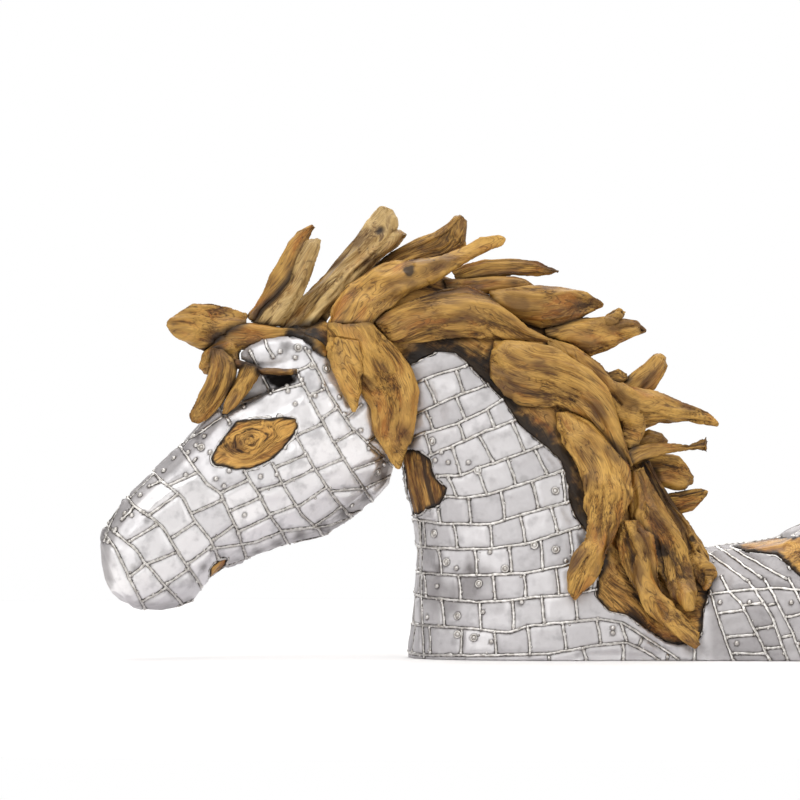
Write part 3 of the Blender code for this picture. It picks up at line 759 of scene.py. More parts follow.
def gather(name, copies):
    """Joins copies into one piece."""
    pick(*copies)
    bpy.ops.object.join()
    piece = bpy.context.object
    piece.name = name
    bpy.ops.object.shade_smooth()
    reshape(piece, corners(piece))
    # Nearness to the plate, where the bead finish darkens a nail or lump: partly soot, partly painted shade.
    write(piece, "flank", np.clip(1.2 - gaps(corners(piece), skin_tree, 0.01) / 0.0016, 0, 1))
    print(name, "from", len(copies), "copies,", len(piece.data.polygons), "faces")
    return piece


ring = primitive("washer_ring", bpy.ops.mesh.primitive_torus_add, major_radius=0.0056, minor_radius=0.0016,
                 major_segments=14, minor_segments=6)
dome = primitive("nail_dome", bpy.ops.mesh.primitive_uv_sphere_add, radius=0.0043, segments=12, ring_count=8)
dome.scale = (1, 1, 0.8)
bpy.ops.object.transform_apply(scale=True)
print("ring", len(ring.data.polygons), "faces, dome", len(dome.data.polygons), "faces")

# %% [markdown]
# Each place is sent along the view on to the steel, from the left and from the right. A place that lands on
# wood, or too near it, is left out. Every copy is noted for the soot round it.

# %% Washers and nails
OFF_THE_WOOD = 0.004
SOOT_REACH = {"washer": 0.0066, "nail": 0.0040}
copies, blobs = [], []
for kind, places, models in (("washer", WASHERS, (ring, dome)), ("nail", NAILS, (dome,))):
    for across, down in places:
        for side in (-1, 1):
            at, normal = skin_tree.ray_cast(spot(across, down, side * 0.5), Vector((0, -side, 0)))[:2]
            if at is None or gaps([at], inlay_tree, 0.02)[0] < OFF_THE_WOOD:
                continue
            blobs.append((at, SOOT_REACH[kind]))
            copies += [copy_of(model, upright(at + normal * 0.0006, normal)) for model in models]
nails = gather("nail_heads", copies)

# %% [markdown]
# Welding throws spatter, and where two beads meet the filler piles up. Both are small lumps: one flattened
# ball of a few faces, copied to the ends of the seams and to chance places along them.

# %% Spatter and lumps
LUMP = 0.0022
SCATTER = 0.0035
lump = primitive("weld_lump", bpy.ops.mesh.primitive_ico_sphere_add, radius=LUMP, subdivisions=1)
dice = np.random.default_rng(5)
copies = []
for points, turned in seams:
    if len(points) > 6:
        for i in (0, len(points) - 1):
            size = dice.uniform(1.1, 1.9)
            stand = upright(points[i], turned[i]) @ Matrix.Diagonal((size, size, size * 0.9, 1))
            copies.append(copy_of(lump, stand))
            blobs.append((Vector(points[i]), LUMP * size))
        for i in dice.integers(0, len(points), max(1, len(points) // 18)):
            size = dice.uniform(0.5, 1.4)
            off = Vector(dice.normal(0, SCATTER, 3))
            at = Vector(points[i]) + off - off.project(Vector(turned[i]))
            copies.append(copy_of(lump, upright(at, turned[i]) @ Matrix.Diagonal((size, size, size, 1))))
lumps = gather("weld_lumps", copies)
for model in (ring, dome, lump):
    bpy.data.objects.remove(model)

# %% [markdown]
# Soot lies in a ring round each washer, nail and large lump, and the smudges are soft spots with a ragged
# edge. Searching from each spot to the corners near it is far quicker than asking every corner.

# %% Soot and smudges
SOOT_FADE = 0.0035
soot_and_shade = np.zeros(len(co))
corner_tree = points_tree(corners(skin))
for at, reach in blobs:
    for _, i, gap in corner_tree.find_range(at, reach + SOOT_FADE):
        soot_and_shade[i] = max(soot_and_shade[i], min(1.0, 1 - (gap - reach) / SOOT_FADE))
for x, y, r in SMUDGES:
    # The row of smudges along the jaw is painted shade.
    smudge = 0.75 * np.exp(-(from_place(grid, x, y) / r + 0.4 * noise(co / 0.008, 61)) ** 2)
    soot_and_shade = np.maximum(soot_and_shade, smudge * (skin_normals[:, 1] < 0.2))
write(skin, "soot_and_shade", soot_and_shade)
print("soot on", int((soot_and_shade > 0.1).sum()), "corners")

# %% [markdown]
# ## The wood
# Driftwood splits along its grain, and its grain follows the bend of the branch. So each piece has a grain
# line, drawn along it on the grid. A piece of the far side has a plainer line of its own.

# %% Grain lines
GRAIN = {
    "shin": ((561, 412), (574, 428), (589, 446), (602, 466), (607, 491), (602, 518), (596, 540), (586, 557),
             (578, 575), (571, 596)),
    "cheek_fork": ((349, 322), (362, 346), (377, 370), (389, 390), (393, 410), (393, 430), (395, 450),
                   (398, 468)),
    "nape_leaf": ((370, 330), (393, 324), (417, 319), (442, 314), (467, 312), (488, 316), (505, 325),
                  (524, 335), (548, 342)),
    "shoulder_plank": ((488, 356), (508, 366), (526, 372), (546, 376), (564, 383), (581, 391), (596, 403),
                       (607, 421), (616, 441), (629, 468)),
    "wither_tongue": ((627, 518), (633, 537), (638, 558), (642, 578), (650, 595), (661, 611), (676, 624),
                      (695, 645)),
    "wither_slab": ((635, 466), (640, 488), (647, 512), (658, 535), (668, 555), (675, 574), (686, 608)),
    "wither_strip": ((643, 458), (652, 477), (665, 501), (680, 523), (688, 543), (695, 562), (704, 588)),
    "crest_leaf": ((350, 326), (358, 310), (372, 294), (390, 281), (409, 274), (435, 268), (468, 253),
                   (504, 239)),
    "forelock_hook": ((217, 348), (226, 365), (221, 384), (211, 400), (196, 424)),
    "forelock_small": ((255, 362), (249, 377), (241, 391), (226, 414)),
    "forelock_brow": ((205, 345), (230, 338), (266, 335), (303, 339), (328, 354)),
    "forelock_leaf": ((168, 324), (193, 325), (226, 326), (248, 324)),
    "spike_front": ((262, 326), (273, 312), (287, 297), (298, 281), (306, 261), (319, 239)),
    "spike_rear": ((254, 324), (263, 309), (271, 294), (280, 277), (296, 246), (315, 225)),
    "crest_pole": ((290, 332), (305, 312), (319, 295), (335, 280), (351, 263), (365, 249), (378, 235),
                   (388, 206)),
    "nape_knot": ((490, 300), (514, 305), (539, 307), (562, 306), (604, 305)),
    "nape_fork": ((545, 333), (567, 332), (588, 337), (605, 334), (646, 330)),
    "back_arm": ((545, 341), (569, 354), (594, 373), (608, 390), (623, 404), (643, 410), (661, 408),
                 (717, 425)),
    "back_twig": ((622, 462), (636, 454), (651, 449), (688, 447), (707, 444)),
    "back_root": ((630, 449), (649, 440), (667, 443)),
    "back_chunk": ((640, 468), (660, 470), (675, 473), (694, 480)),
    "back_chip": ((664, 502), (679, 502), (707, 493)),
    "back_stub": ((631, 393), (643, 380), (663, 354)),
    "back_knob": ((598, 384), (609, 378), (628, 376)),
    "crest_rib": ((444, 287), (493, 285), (536, 286)),
    "crest_blade": ((454, 279), (469, 273), (487, 269), (536, 269), (561, 272)),
    "crest_gnarl": ((350, 295), (377, 275), (397, 262), (422, 252), (440, 245), (456, 232), (464, 214)),
    "far_shin": ((570, 414), (593, 447), (606, 492), (593, 548), (572, 596)),
    "far_cheek": ((350, 326), (368, 354), (391, 392), (392, 430), (397, 464)),
    "far_nape": ((376, 327), (417, 320), (467, 312), (503, 325), (542, 340)),
    "far_plank": ((490, 358), (525, 374), (564, 383), (599, 408), (622, 454)),
    "far_tongue": ((630, 523), (638, 563), (659, 607), (692, 637)),
    "far_slab": ((637, 471), (649, 515), (673, 567), (685, 602)),
    "far_crest": ((350, 323), (373, 294), (409, 274), (434, 268)),
    "far_arm": ((553, 347), (598, 379), (646, 410), (703, 416)),
    "mane_bed": ((275, 318), (340, 348), (420, 340), (490, 372), (545, 430), (585, 500), (612, 570),
                 (655, 612), (705, 630)),
    "eye": ((205, 462), (228, 446), (251, 440), (275, 432), (305, 418)),
    "mouth": ((206, 590), (219, 570), (232, 552)),
    "throat": ((412, 440), (418, 470), (424, 495), (428, 520)),
    "saddle": ((725, 550), (770, 545), (850, 556)),
}
print(len(GRAIN), "grain lines")

# %% [markdown]
# Every corner gets its place along that line and away from it, and both the carving and the colour are drawn
# out along it. The line is smoothed first, or the grain would turn sharply at each place.

# %% Place along the grain
FINE = 0.003   # spacing of the points on a smoothed grain line


def grain_line(places):
    """Even points along a bend through some places, and their directions."""
    at = np.array([tuple(spot(*p)) for p in places])[:, (0, 2)]
    run = np.concatenate(([0], np.cumsum(np.linalg.norm(np.diff(at, axis=0), axis=1))))
    fine = np.arange(0, run[-1], FINE)
    line = np.stack([np.interp(fine, run, at[:, k]) for k in range(2)], axis=1)
    for _ in range(12):
        line[1:-1] = (line[:-2] + 2 * line[1:-1] + line[2:]) / 4
    ahead = np.gradient(line, axis=0)
    return line, ahead / np.linalg.norm(ahead, axis=1)[:, None]


def along_grain(points, places):
    """Place of each point along the grain, across it, and through it."""
    line, ahead = grain_line(places)
    flat = points[:, (0, 2)]
    near = np.concatenate([((part[:, None] - line[None]) ** 2).sum(2).argmin(1)
                           for part in np.array_split(flat, len(flat) // 4000 + 1)])
    off = flat - line[near]
    u = near * FINE + (off * ahead[near]).sum(1)
    v = off[:, 0] * -ahead[near, 1] + off[:, 1] * ahead[near, 0]
    return np.stack((u, v, points[:, 1]), axis=1)


print("the shin is", round(len(grain_line(GRAIN["shin"])[0]) * FINE, 2), "m along its grain")

# %% [markdown]
# Single marks are places on the elevation. Knots, burls and holes have their reach in steps and their height.
# Soft dark stains, which the sap has left, have their reach. Some pieces are browner than others, and some
# have been sanded smooth.

# %% Knots, stains and tones of the wood
WOODS = [n for n in nodes if n != "steel_skin"]
KNOTS = {
    "crest_leaf": ((409, 272, 7, -1.5),),
    "wither_slab": ((659, 549, 9, -1.4),),
    "wither_strip": ((690, 537, 5, -1.2), (704, 571, 6, 0.5)),
    "crest_pole": ((380, 230, 7, -1.0), (392, 219, 4, 0.5)),
    "crest_gnarl": ((452, 236, 5, -0.7),),
    "nape_knot": ((559, 312, 5, 0.4),),
    "cheek_fork": ((354, 346, 5, 0.3),),
    "back_arm": ((571, 354, 4, 0.4),),
    "eye_left": ((282, 432, 4, -0.45), (234, 446, 4, -0.6)),
    "forelock_brow": ((298, 373, 6, -1.0), (286, 371, 5, -0.5)),
}
TONES = {
    "nape_leaf": 1.0, "cheek_fork": 0.0, "crest_leaf": 0.0, "shin": 0.0, "eye_left": 0.0, "eye_right": 0.0,
    "wither_tongue": 0.3, "wither_slab": 0.6, "shoulder_plank": 0.5, "crest_pole": 0.8, "crest_gnarl": 1.0,
}
SANDED = (
    "shin", "forelock_leaf", "forelock_hook", "forelock_small", "forelock_brow", "cheek_fork", "crest_leaf",
    "spike_rear", "saddle_left", "saddle_right", "far_cheek", "far_crest",
)
STAINS = (
    (438, 265, 8), (477, 289, 4), (466, 320, 7), (448, 336, 6), (515, 304, 10), (597, 301, 5),
    (545, 263, 4), (617, 324, 8), (642, 325, 6), (505, 378, 9), (508, 392, 7), (540, 368, 7), (564, 394, 6),
    (596, 408, 7), (545, 399, 6), (624, 401, 8), (218, 343, 6), (398, 290, 9), (366, 380, 5), (404, 430, 5),
    (585, 480, 6), (612, 452, 6), (572, 560, 6), (640, 540, 9), (655, 520, 8), (668, 590, 6), (635, 565, 6),
    (688, 575, 6), (690, 405, 6), (660, 470, 7), (340, 262, 6), (234, 446, 6), (420, 470, 6), (414, 494, 8),
    (436, 498, 5), (649, 378, 5), (585, 345, 7), (268, 370, 6), (282, 371, 7), (295, 372, 7), (368, 262, 5),
    (360, 240, 5),
)
print(len(KNOTS), "knotted pieces,", len(STAINS), "stains,", len(SANDED), "sanded pieces")

# %% [markdown]
# Each eye is one carved burl, so its grain winds round the iris. The throat has three charred grooves down
# it. Both follow the piece's own box or grain line, so the far side gets them too.

# %% Marks of the eye and throat
EYE_LINES = ((4.4, 0.9, 1.0), (10.5, 1.1, 1.2), (15.5, 1.0, 0.7))   # reach and width in steps, and weight
GROOVE_PITCH = 0.021


def iris(at, node):
    """Distance of the corners from the iris, in steps and drawn out along the lid, and the turn about it."""
    low, high = on_grid(np.array([tuple(p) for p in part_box(node)]))
    off = on_grid(at) - (low + (high - low) * (0.46, 0.55))
    along, across = off @ np.array((0.90, -0.44)), off @ np.array((0.44, 0.90))
    reach = np.hypot(along / 1.65, across) + 2.0 * noise(at / 0.015, 71) + 0.9 * noise(at / 0.006, 72)
    return np.maximum(reach, 0), np.arctan2(across, along / 1.65)


def carve_eye(at, grain, node, cut_in, dark):
    """Winds the grain of an eye round its iris."""
    reach, turn = iris(at, node)
    inside = eased((21 - reach) / 12)
    broken = 0.55 + 1.1 * noise(np.stack((np.cos(turn), np.sin(turn), reach / 9), axis=1) * 1.6, 74)
    lines = sum(weight * np.exp(-((reach - ring) / width) ** 2) for ring, width, weight in EYE_LINES)
    lines = lines * np.clip(broken, 0, 1)
    lines += 0.28 * np.clip(np.cos(2 * math.pi * reach / 2.6), 0, 1) * inside
    cut_in = cut_in * (1 - 0.5 * inside) - 0.0014 * lines + 0.0012 * np.exp(-(reach / 3.4) ** 2)
    dark = dark * (1 - 0.75 * inside) + 0.85 * lines
    round_it = np.stack((grain[:, 0].mean() + np.abs(turn) * 0.03, reach * STEP,
                         grain[:, 2] + 0.004 * np.sin(turn)), axis=1)
    return grain * (1 - inside[:, None]) + round_it * inside[:, None], cut_in, dark


def carve_throat(true, cut_in, dark):
    """Sinks three grooves along a throat piece."""
    turn = 2 * math.pi * (true[:, 1] + 0.0015 * noise(true / 0.02, 73)) / GROOVE_PITCH
    groove = eased((-0.15 - np.cos(turn)) * 1.6)
    return cut_in - 0.0018 * groove, dark + 0.75 * groove


print("marks ready")

# %% [markdown]
# Grain flows round a knot as water does round a stone, so near one the corners' place across the grain is
# squeezed. A stain is drawn out along the grain, and its edge is ragged.

# %% Knots and stains
def knots_and_stains(node, at, true, grain, outward, seed):
    """Bends the grain round a piece's knots. Gives the knots, how far they stand out, and the stains."""
    flat = on_grid(at)
    near_side = eased(0.7 - outward[:, 1] * 1.4)
    knot, push, stain = np.zeros((3, len(at)))
    for x, y, r, height in KNOTS.get(node, ()):
        gap = from_place(flat, x, y)
        off = grain - grain[gap.argmin()]
        spread = (r * STEP) ** 2
        parted = near_side * spread / (off[:, 0] ** 2 / 4 + off[:, 1] ** 2 + spread)
        grain[:, 1] -= off[:, 1] * parted
        core = np.exp(-((gap + 1.2 * noise(at / 0.007, seed)) / (r * 0.8)) ** 2) * near_side
        push += height * core * 0.0045
        knot = np.maximum(knot, core * abs(height))
    rag = 0.45 * noise(at / 0.014, seed + 9) + 0.25 * noise(true / (0.03, 0.005, 0.005), seed + 10)
    for x, y, r in STAINS:
        gap = from_place(flat, x, y) / r
        if gap.min() < 1:
            off = true - true[gap.argmin()]
            gap = np.hypot(off[:, 0] / 1.7, off[:, 1] * 1.25) / (r * STEP)
            soft = np.clip(np.exp(-0.55 * gap * gap) * (1.0 + 1.3 * rag), 0, 1)
            stain = np.maximum(stain, soft * near_side)
    return knot, push, stain


print("knots and stains ready")

# %% [markdown]
# A weathered branch has broad planes worn along it, with crisp ridges where they meet, and on part of it the
# fibres stand open. Noise drawn out along the grain gives all three, from 60 mm wide down to 5 mm. A cleft is
# where the fibres have parted. Real fibres are finer than the mesh, so the narrowest strands stand for
# bundles of them.

# %% Planes, ridges and fibres
def fibres(node, grain, depth, seed):
    """How far each corner is cut in, how dark it is, with painted shade in its hollows and painted highlight
    on its crests, and how far the fibres stand open.
    """
    smooth = node in SANDED
    wide = 0.026 + depth * 2.5
    planes = ridged(grain / (0.20, wide, wide), seed + 1)
    ridges = ridged(grain / (0.12, wide * 0.42, wide * 0.42), seed + 3)
    strands = np.abs(noise(grain / (0.15, 0.0095, 0.0095), seed + 2)) * 2
    thread = np.abs(noise(grain / (0.07, 0.0050, 0.0050), seed + 7)) * 2
    opened = eased(noise(grain / (0.08, 0.03, 0.03), seed + 6) * 1.8 + (0.10 if smooth else 0.50))
    cleft = np.clip(noise(grain / (0.130, 0.0065, 0.0065), seed + 4) * 3.0 - 1.30, 0, 1) * opened
    cleft *= 0.25 if smooth else 1.0
    split = opened * (0.45 * (strands - 0.5) - cleft)
    cut_in = depth * (0.85 * (planes - 0.40) + 0.50 * (ridges - 0.45) + split)
    cut_in += min(depth, 0.004) * 0.25 * (thread - 0.5) * opened
    # Lighter on the crests of planes and ridges, which is painted highlight, and darker in the hollows, which
    # is painted shade; clefts and open fibres darken it too.
    dark = 0.34 - 0.32 * (planes - 0.3) - 0.26 * (ridges - 0.4) + 0.8 * cleft
    dark -= opened * (0.42 * (strands - 0.45) + 0.28 * (thread - 0.4))
    return cut_in, dark, opened


print("fibres ready")

# %% [markdown]
# One function then carves a whole piece. Carving is strongest where the surface faces the viewer or the far
# side, and weakest at the outline, so the outline stays where the solid has it. The ends are torn.

# %% Carve one piece
GRAIN_WAVER = 0.008
TORN = 0.016         # how much of each end is torn
SOLID_SWELL = 0.0004


def carve(node, voxel, depth):
    """Piece of wood on a CAD node, with planes, ridges, fibres, knots and torn ends along its grain."""
    piece = fresh(node, "wood_" + node, voxel)
    at = relax(corners(piece), edges(piece), np.ones(len(piece.data.vertices)), 1)
    reshape(piece, at)
    outward = normals(piece)
    seed = sum(ord(c) * (i + 3) for i, c in enumerate(node)) % 977
    true = along_grain(at, GRAIN.get(node, GRAIN.get(node.split("_")[0])))
    grain = true.copy()
    knot, push, stain = knots_and_stains(node, at, true, grain, outward, seed)
    grain[:, 0] += seed * 0.37
    waver = [noise(grain / 0.07, seed + k) for k in (0, 11)]
    grain[:, 1:] += GRAIN_WAVER * np.stack(waver, axis=1)
    cut_in, dark, opened = fibres(node, grain, depth, seed)
    if node.startswith("eye"):
        grain, cut_in, dark = carve_eye(at, grain, node, cut_in, dark)
    if node.startswith("throat"):
        cut_in, dark = carve_throat(true, cut_in, dark)
    ends = eased(1 - np.minimum(true[:, 0], true[:, 0].max() - true[:, 0]) / TORN)
    tear = np.clip(noise(true / (0.03, 0.006, 0.006), seed + 5) + 0.1, 0, 1)
    toward = 0.5 + 1.1 * np.abs(outward[:, 1])
    cut_in = np.maximum((cut_in - ends * tear * min(0.005, depth * 1.2)) * toward, -1.3 * depth)
    swell = SOLID_SWELL if node in INLAYS else 2 * SOLID_SWELL + 0.08 * depth
    reshape(piece, at + outward * (cut_in + push + swell)[:, None])
    tone = np.full(len(at), TONES.get(node, (seed * 0.618) % 1))
    for name, values in (("grain", grain), ("hollow", np.clip(dark, 0, 1.2)), ("knot", knot),
                         ("stain", stain), ("opened", opened), ("tone", tone)):
        write(piece, name, values)
    return piece, at


print("one piece can be carved")

# %% [markdown]
# An inlay is carved only lightly, because it was cut to lie flush with the steel. A branch is carved to a
# ninth of its thickness, up to 7.5 mm. The mesh is finest where the photograph looks closest.

# %% Carve all the pieces
INLAY_DEPTH, MOST_DEPTH = 0.0022, 0.0075
BED_VOXEL, FAR_VOXEL, NEAR_VOXEL = 0.0042, 0.0036, 0.0027
wood_pieces = {}
for node in WOODS:
    thick = min((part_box(node)[1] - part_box(node)[0])[:])
    depth = INLAY_DEPTH if node in INLAYS else min(MOST_DEPTH, thick * 0.11)
    voxel = NEAR_VOXEL
    if node == "mane_bed":
        voxel = BED_VOXEL
    elif node.startswith(("far_", "saddle")):
        voxel = FAR_VOXEL
    wood_pieces[node] = carve(node, voxel, depth)
print(sum(len(p.data.polygons) for p, _ in wood_pieces.values()), "faces of wood")

# %% [markdown]
# Where pieces meet, the wood is painted dark as shade, and where it meets the steel the torch has charred it,
# with painted shade over the char. So each corner also gets its distance to the nearest other piece, and how
# dark it is by the steel. The bed under the mane is darkened widest, down to the withers, as painted shade
# under the mane, and the mouth least.

# %% Find where the pieces meet
TOUCHING = 0.02
# Reach of the dark edge by the steel: char, with painted shade; the brow's wider edge is painted shadow.
CHAR_AND_SHADE_REACH = {"forelock_brow": 0.006, "eye_left": 0.005, "eye_right": 0.005, "mouth_left": 0.003,
              "mouth_right": 0.003}
steel_tree = tree_of("steel_skin")
for node, (piece, at) in wood_pieces.items():
    low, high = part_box(node)
    beside = [n for n in WOODS if n != node and all(
        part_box(n)[0][k] < high[k] + TOUCHING and low[k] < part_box(n)[1][k] + TOUCHING for k in range(3))]
    alone = np.full(len(at), TOUCHING)
    # Distance to the other pieces, for the painted shade where they meet.
    write(piece, "meets", gaps(at, tree_of(*beside), TOUCHING) if beside else alone)
    reach = CHAR_AND_SHADE_REACH.get(node, 0.008 if node in INLAYS else 0.0035)
    # The bed's wide dark band under the mane is painted shade.
    if node == "mane_bed":
        reach = np.interp(on_grid(at)[:, 1], (530, 575), (0.040, 0.009))
    ragged = 0.35 * noise(at / 0.010, 41) + 0.2 * noise(at / 0.004, 42)
    write(piece, "char_and_shade", np.clip(1.15 - gaps(at, steel_tree, 0.05) / reach + ragged, 0, 1))
print("contacts found")

# %% [markdown]
# ## Finishes
# One function turns an sRGB colour code to the linear values that Blender wants, and one adds a node with
# its settings and links. Every material below is a list of layers, each of which fades one colour over the
# last, between a start and an end of some value and up to a most.

# %% Colour and node helpers
EASED = {"interpolation_type": "SMOOTHSTEP"}
COLOURS = {"data_type": "RGBA"}


def tint(code):
    """Linear colour of an sRGB code."""
    raw = [int(code[i:i + 2], 16) / 255 for i in (1, 3, 5)]
    return (*[c / 12.92 if c <= 0.04045 else ((c + 0.055) / 1.055) ** 2.4 for c in raw], 1.0)


def add(tree, kind, settings, inputs, out=0, stops=()):
    """Adds a node with its settings and links, and gives one of its outputs.

    An input is a number, a colour code or the output of another node.
    """
    node = tree.nodes.new(kind)
    for key, value in settings.items():
        setattr(node, key, value)
    for key, value in inputs.items():
        if isinstance(value, bpy.types.NodeSocket):
            tree.links.new(value, node.inputs[key])
        else:
            node.inputs[key].default_value = tint(value) if isinstance(value, str) else value
    for _ in stops[2:]:
        node.color_ramp.elements.new(0.5)
    for k, (place, colour) in enumerate(stops):
        node.color_ramp.elements[k].position = place
        node.color_ramp.elements[k].color = tint(colour)
    return node.outputs[out]


def finish(name):
    """New material, its node tree and its shader."""
    made = bpy.data.materials.new(name)
    made.use_nodes = True
    return made, made.node_tree, made.node_tree.nodes["Principled BSDF"]


print("mid grey is", round(tint("#808080")[0], 3), "when linear")

# %% [markdown]
# The sheet is stainless steel, ground and polished by hand after the welding. That leaves a soft mirror:
# broad reflections with a slight haze, and each plate a shade apart. Darker cloudy patches are painted
# reflection. Along each weld the steel is darker, with a dotted line of painted shade in the groove beside
# the bead, and a thin painted shadow runs along the wood. Under the brow's wooden lip and above the eye a
# shadow is painted dark, and there the steel is no longer a metal to the shader.

# %% Polished stainless sheet
CLOUD, HAZE, FINE_MARKS = 0.024, 0.0083, 0.0024   # real polishing marks are 0.1 mm, too fine to show here
sheet_steel, tree, shader = finish("polished_stainless_sheet")
place = add(tree, "ShaderNodeTexCoord", {}, {}, "Object")
seam, plate, painted_shadow, dull_and_shade, soot_and_shade, rim = (
    add(tree, "ShaderNodeAttribute", {"attribute_name": name}, {}, "Fac")
    for name in ("seam", "plate", "painted_shadow", "dull_and_shade", "soot_and_shade", "wood_near"))
cloud, haze, fine = (
    add(tree, "ShaderNodeTexNoise", {}, {"Vector": place, "Scale": 1 / size, "Detail": 3.0})
    for size in (CLOUD, HAZE, FINE_MARKS))
dotted = add(tree, "ShaderNodeMapRange", EASED, {0: fine, 1: 0.40, 2: 0.58, 3: 0.25, 4: 0.85})
body = add(tree, "ShaderNodeMix", COLOURS, {0: plate, 6: "#F3F1F1", 7: "#DAD8D9"}, 2)
for value, start, end, most, colour in (
        # Cloudy darker patches in the colour: painted reflection.
        (cloud, 0.48, 0.74, 0.55, "#ACAAAB"),
        # Duller, darker polish, with painted shade on the nose ridge and under the jaw.
        (dull_and_shade, 0.0, 1.0, 0.85, "#9E9A9A"),
        # A darker band along each weld, then a dotted line of painted shade in the groove where bead meets
        # plate.
        (seam, 0.0065, 0.002, 0.5, "#8D8886"),
        (seam, 0.0040, 0.0026, dotted, "#4C4744"),
        # Soot round washers and nails, and smudges, with painted shade along the jaw.
        (soot_and_shade, 0.0, 1.0, 0.75, "#5A5451"),
        # A thin line of painted shadow where the steel meets the wood.
        (rim, 0.0024, 0.0004, dotted, "#3A322C"),
        # Painted shadow under the brow's wooden lip and above the eye; there the steel is rougher and not a
        # metal.
        (painted_shadow, 0.15, 0.75, 1.0, "#1A1411")):
    amount = add(tree, "ShaderNodeMapRange", EASED, {0: value, 1: start, 2: end, 3: 0.0, 4: most})
    body = add(tree, "ShaderNodeMix", COLOURS, {0: amount, 6: body, 7: colour}, 2)
rough = 0.35
for value, start, end, most in (
        (plate, 0.0, 1.0, 0.12), (haze, 0.35, 0.75, 0.08), (seam, 0.007, 0.0, 0.12),
        (dull_and_shade, 0.0, 1.0, 0.26), (painted_shadow, 0.1, 0.7, 0.4)):
    amount = add(tree, "ShaderNodeMapRange", EASED, {0: value, 1: start, 2: end, 3: 0.0, 4: most})
    rough = add(tree, "ShaderNodeMath", {"operation": "ADD"}, {0: amount, 1: rough})
metal = add(tree, "ShaderNodeMapRange", EASED, {0: painted_shadow, 1: 0.2, 2: 0.8, 3: 1.0, 4: 0.0})
dents = add(tree, "ShaderNodeBump", {}, {"Height": cloud, "Strength": 0.4, "Distance": 0.003})
marks = add(tree, "ShaderNodeBump", {},
            {"Height": fine, "Strength": 0.05, "Distance": 0.0003, "Normal": dents})
for socket, value in (("Base Color", body), ("Roughness", rough), ("Metallic", metal), ("Normal", marks)):
    tree.links.new(value, shader.inputs[socket])
print(sheet_steel.name)

# %% [markdown]
# The beads are the same steel, but left as the torch laid them: rippled, slightly warm in tone, and dark in
# the corner where bead meets plate, which is partly soot and flux, partly painted shade.

# %% Raw weld bead
SPECKS, RIPPLE = 0.0067, 0.0024   # real ripples are 1 mm apart, drawn coarser so that they show
bead_steel, tree, shader = finish("raw_weld_bead")
place = add(tree, "ShaderNodeTexCoord", {}, {}, "Object")
flank = add(tree, "ShaderNodeAttribute", {"attribute_name": "flank"}, {}, "Fac")
specks, ripple = (
    add(tree, "ShaderNodeTexNoise", {}, {"Vector": place, "Scale": 1 / size, "Detail": 3.0})
    for size in (SPECKS, RIPPLE))
shade = add(tree, "ShaderNodeMapRange", EASED, {0: flank, 1: 0.3, 2: 0.9, 3: 0.0, 4: 1.0})
patchy = add(tree, "ShaderNodeMapRange", EASED, {0: specks, 1: 0.38, 2: 0.60, 3: 0.25, 4: 1.0})
# Dark flanks where bead meets plate: partly soot, partly painted shade.
soot_and_shade = add(tree, "ShaderNodeMath", {"operation": "MULTIPLY"}, {0: shade, 1: patchy})
warmth = add(tree, "ShaderNodeMapRange", EASED, {0: specks, 1: 0.3, 2: 0.7, 3: 0.0, 4: 1.0})
body = add(tree, "ShaderNodeMix", COLOURS, {0: warmth, 6: "#DDDAD6", 7: "#B5B0A9"}, 2)
body = add(tree, "ShaderNodeMix", COLOURS, {0: soot_and_shade, 6: body, 7: "#33302D"}, 2)
bump = add(tree, "ShaderNodeBump", {}, {"Height": ripple, "Strength": 0.4, "Distance": 0.0008})
tree.links.new(body, shader.inputs["Base Color"])
tree.links.new(bump, shader.inputs["Normal"])
shader.inputs["Metallic"].default_value = 1.0
shader.inputs["Roughness"].default_value = 0.3
print(bead_steel.name)

# %% [markdown]
# The driftwood is taken to be a dense root wood, split, sanded in places and waxed. Its colour runs along the
# grain: golden brown, purple-brown stains and near black in the splits. Straw on the ridges is painted
# highlight, and the darker hollows, the dark where pieces meet and part of the dark by the steel are painted
# shade. Growth rings show as fine lines, which are the level lines of a smooth noise drawn out along the
# grain.
# The same layers serve three woods, which differ in their colours.

# %% Waxed driftwood
STREAKS = {   # length along the grain and width across it, then detail and distortion
    "broad": (0.11, 0.020, 4.0, 0.4),
    "rings": (0.17, 0.024, 1.5, 0.2),
    "lines": (0.05, 0.0044, 3.0, 0.3),
    "fibre": (0.030, 0.0017, 2.0, 0.2),   # real fibres are finer than 0.1 mm, drawn coarser so they show
    "patch": (0.060, 0.030, 3.0, 0.6),
    "warm": (0.09, 0.034, 2.0, 0.4)}
RINGS = 14.0
# The split colour also paints shade where pieces meet, and the burnt colour is char with painted shade over
# it.
SPLIT_AND_CONTACT_SHADE, BURNT_AND_SHADE = "#22160D", "#17100B"


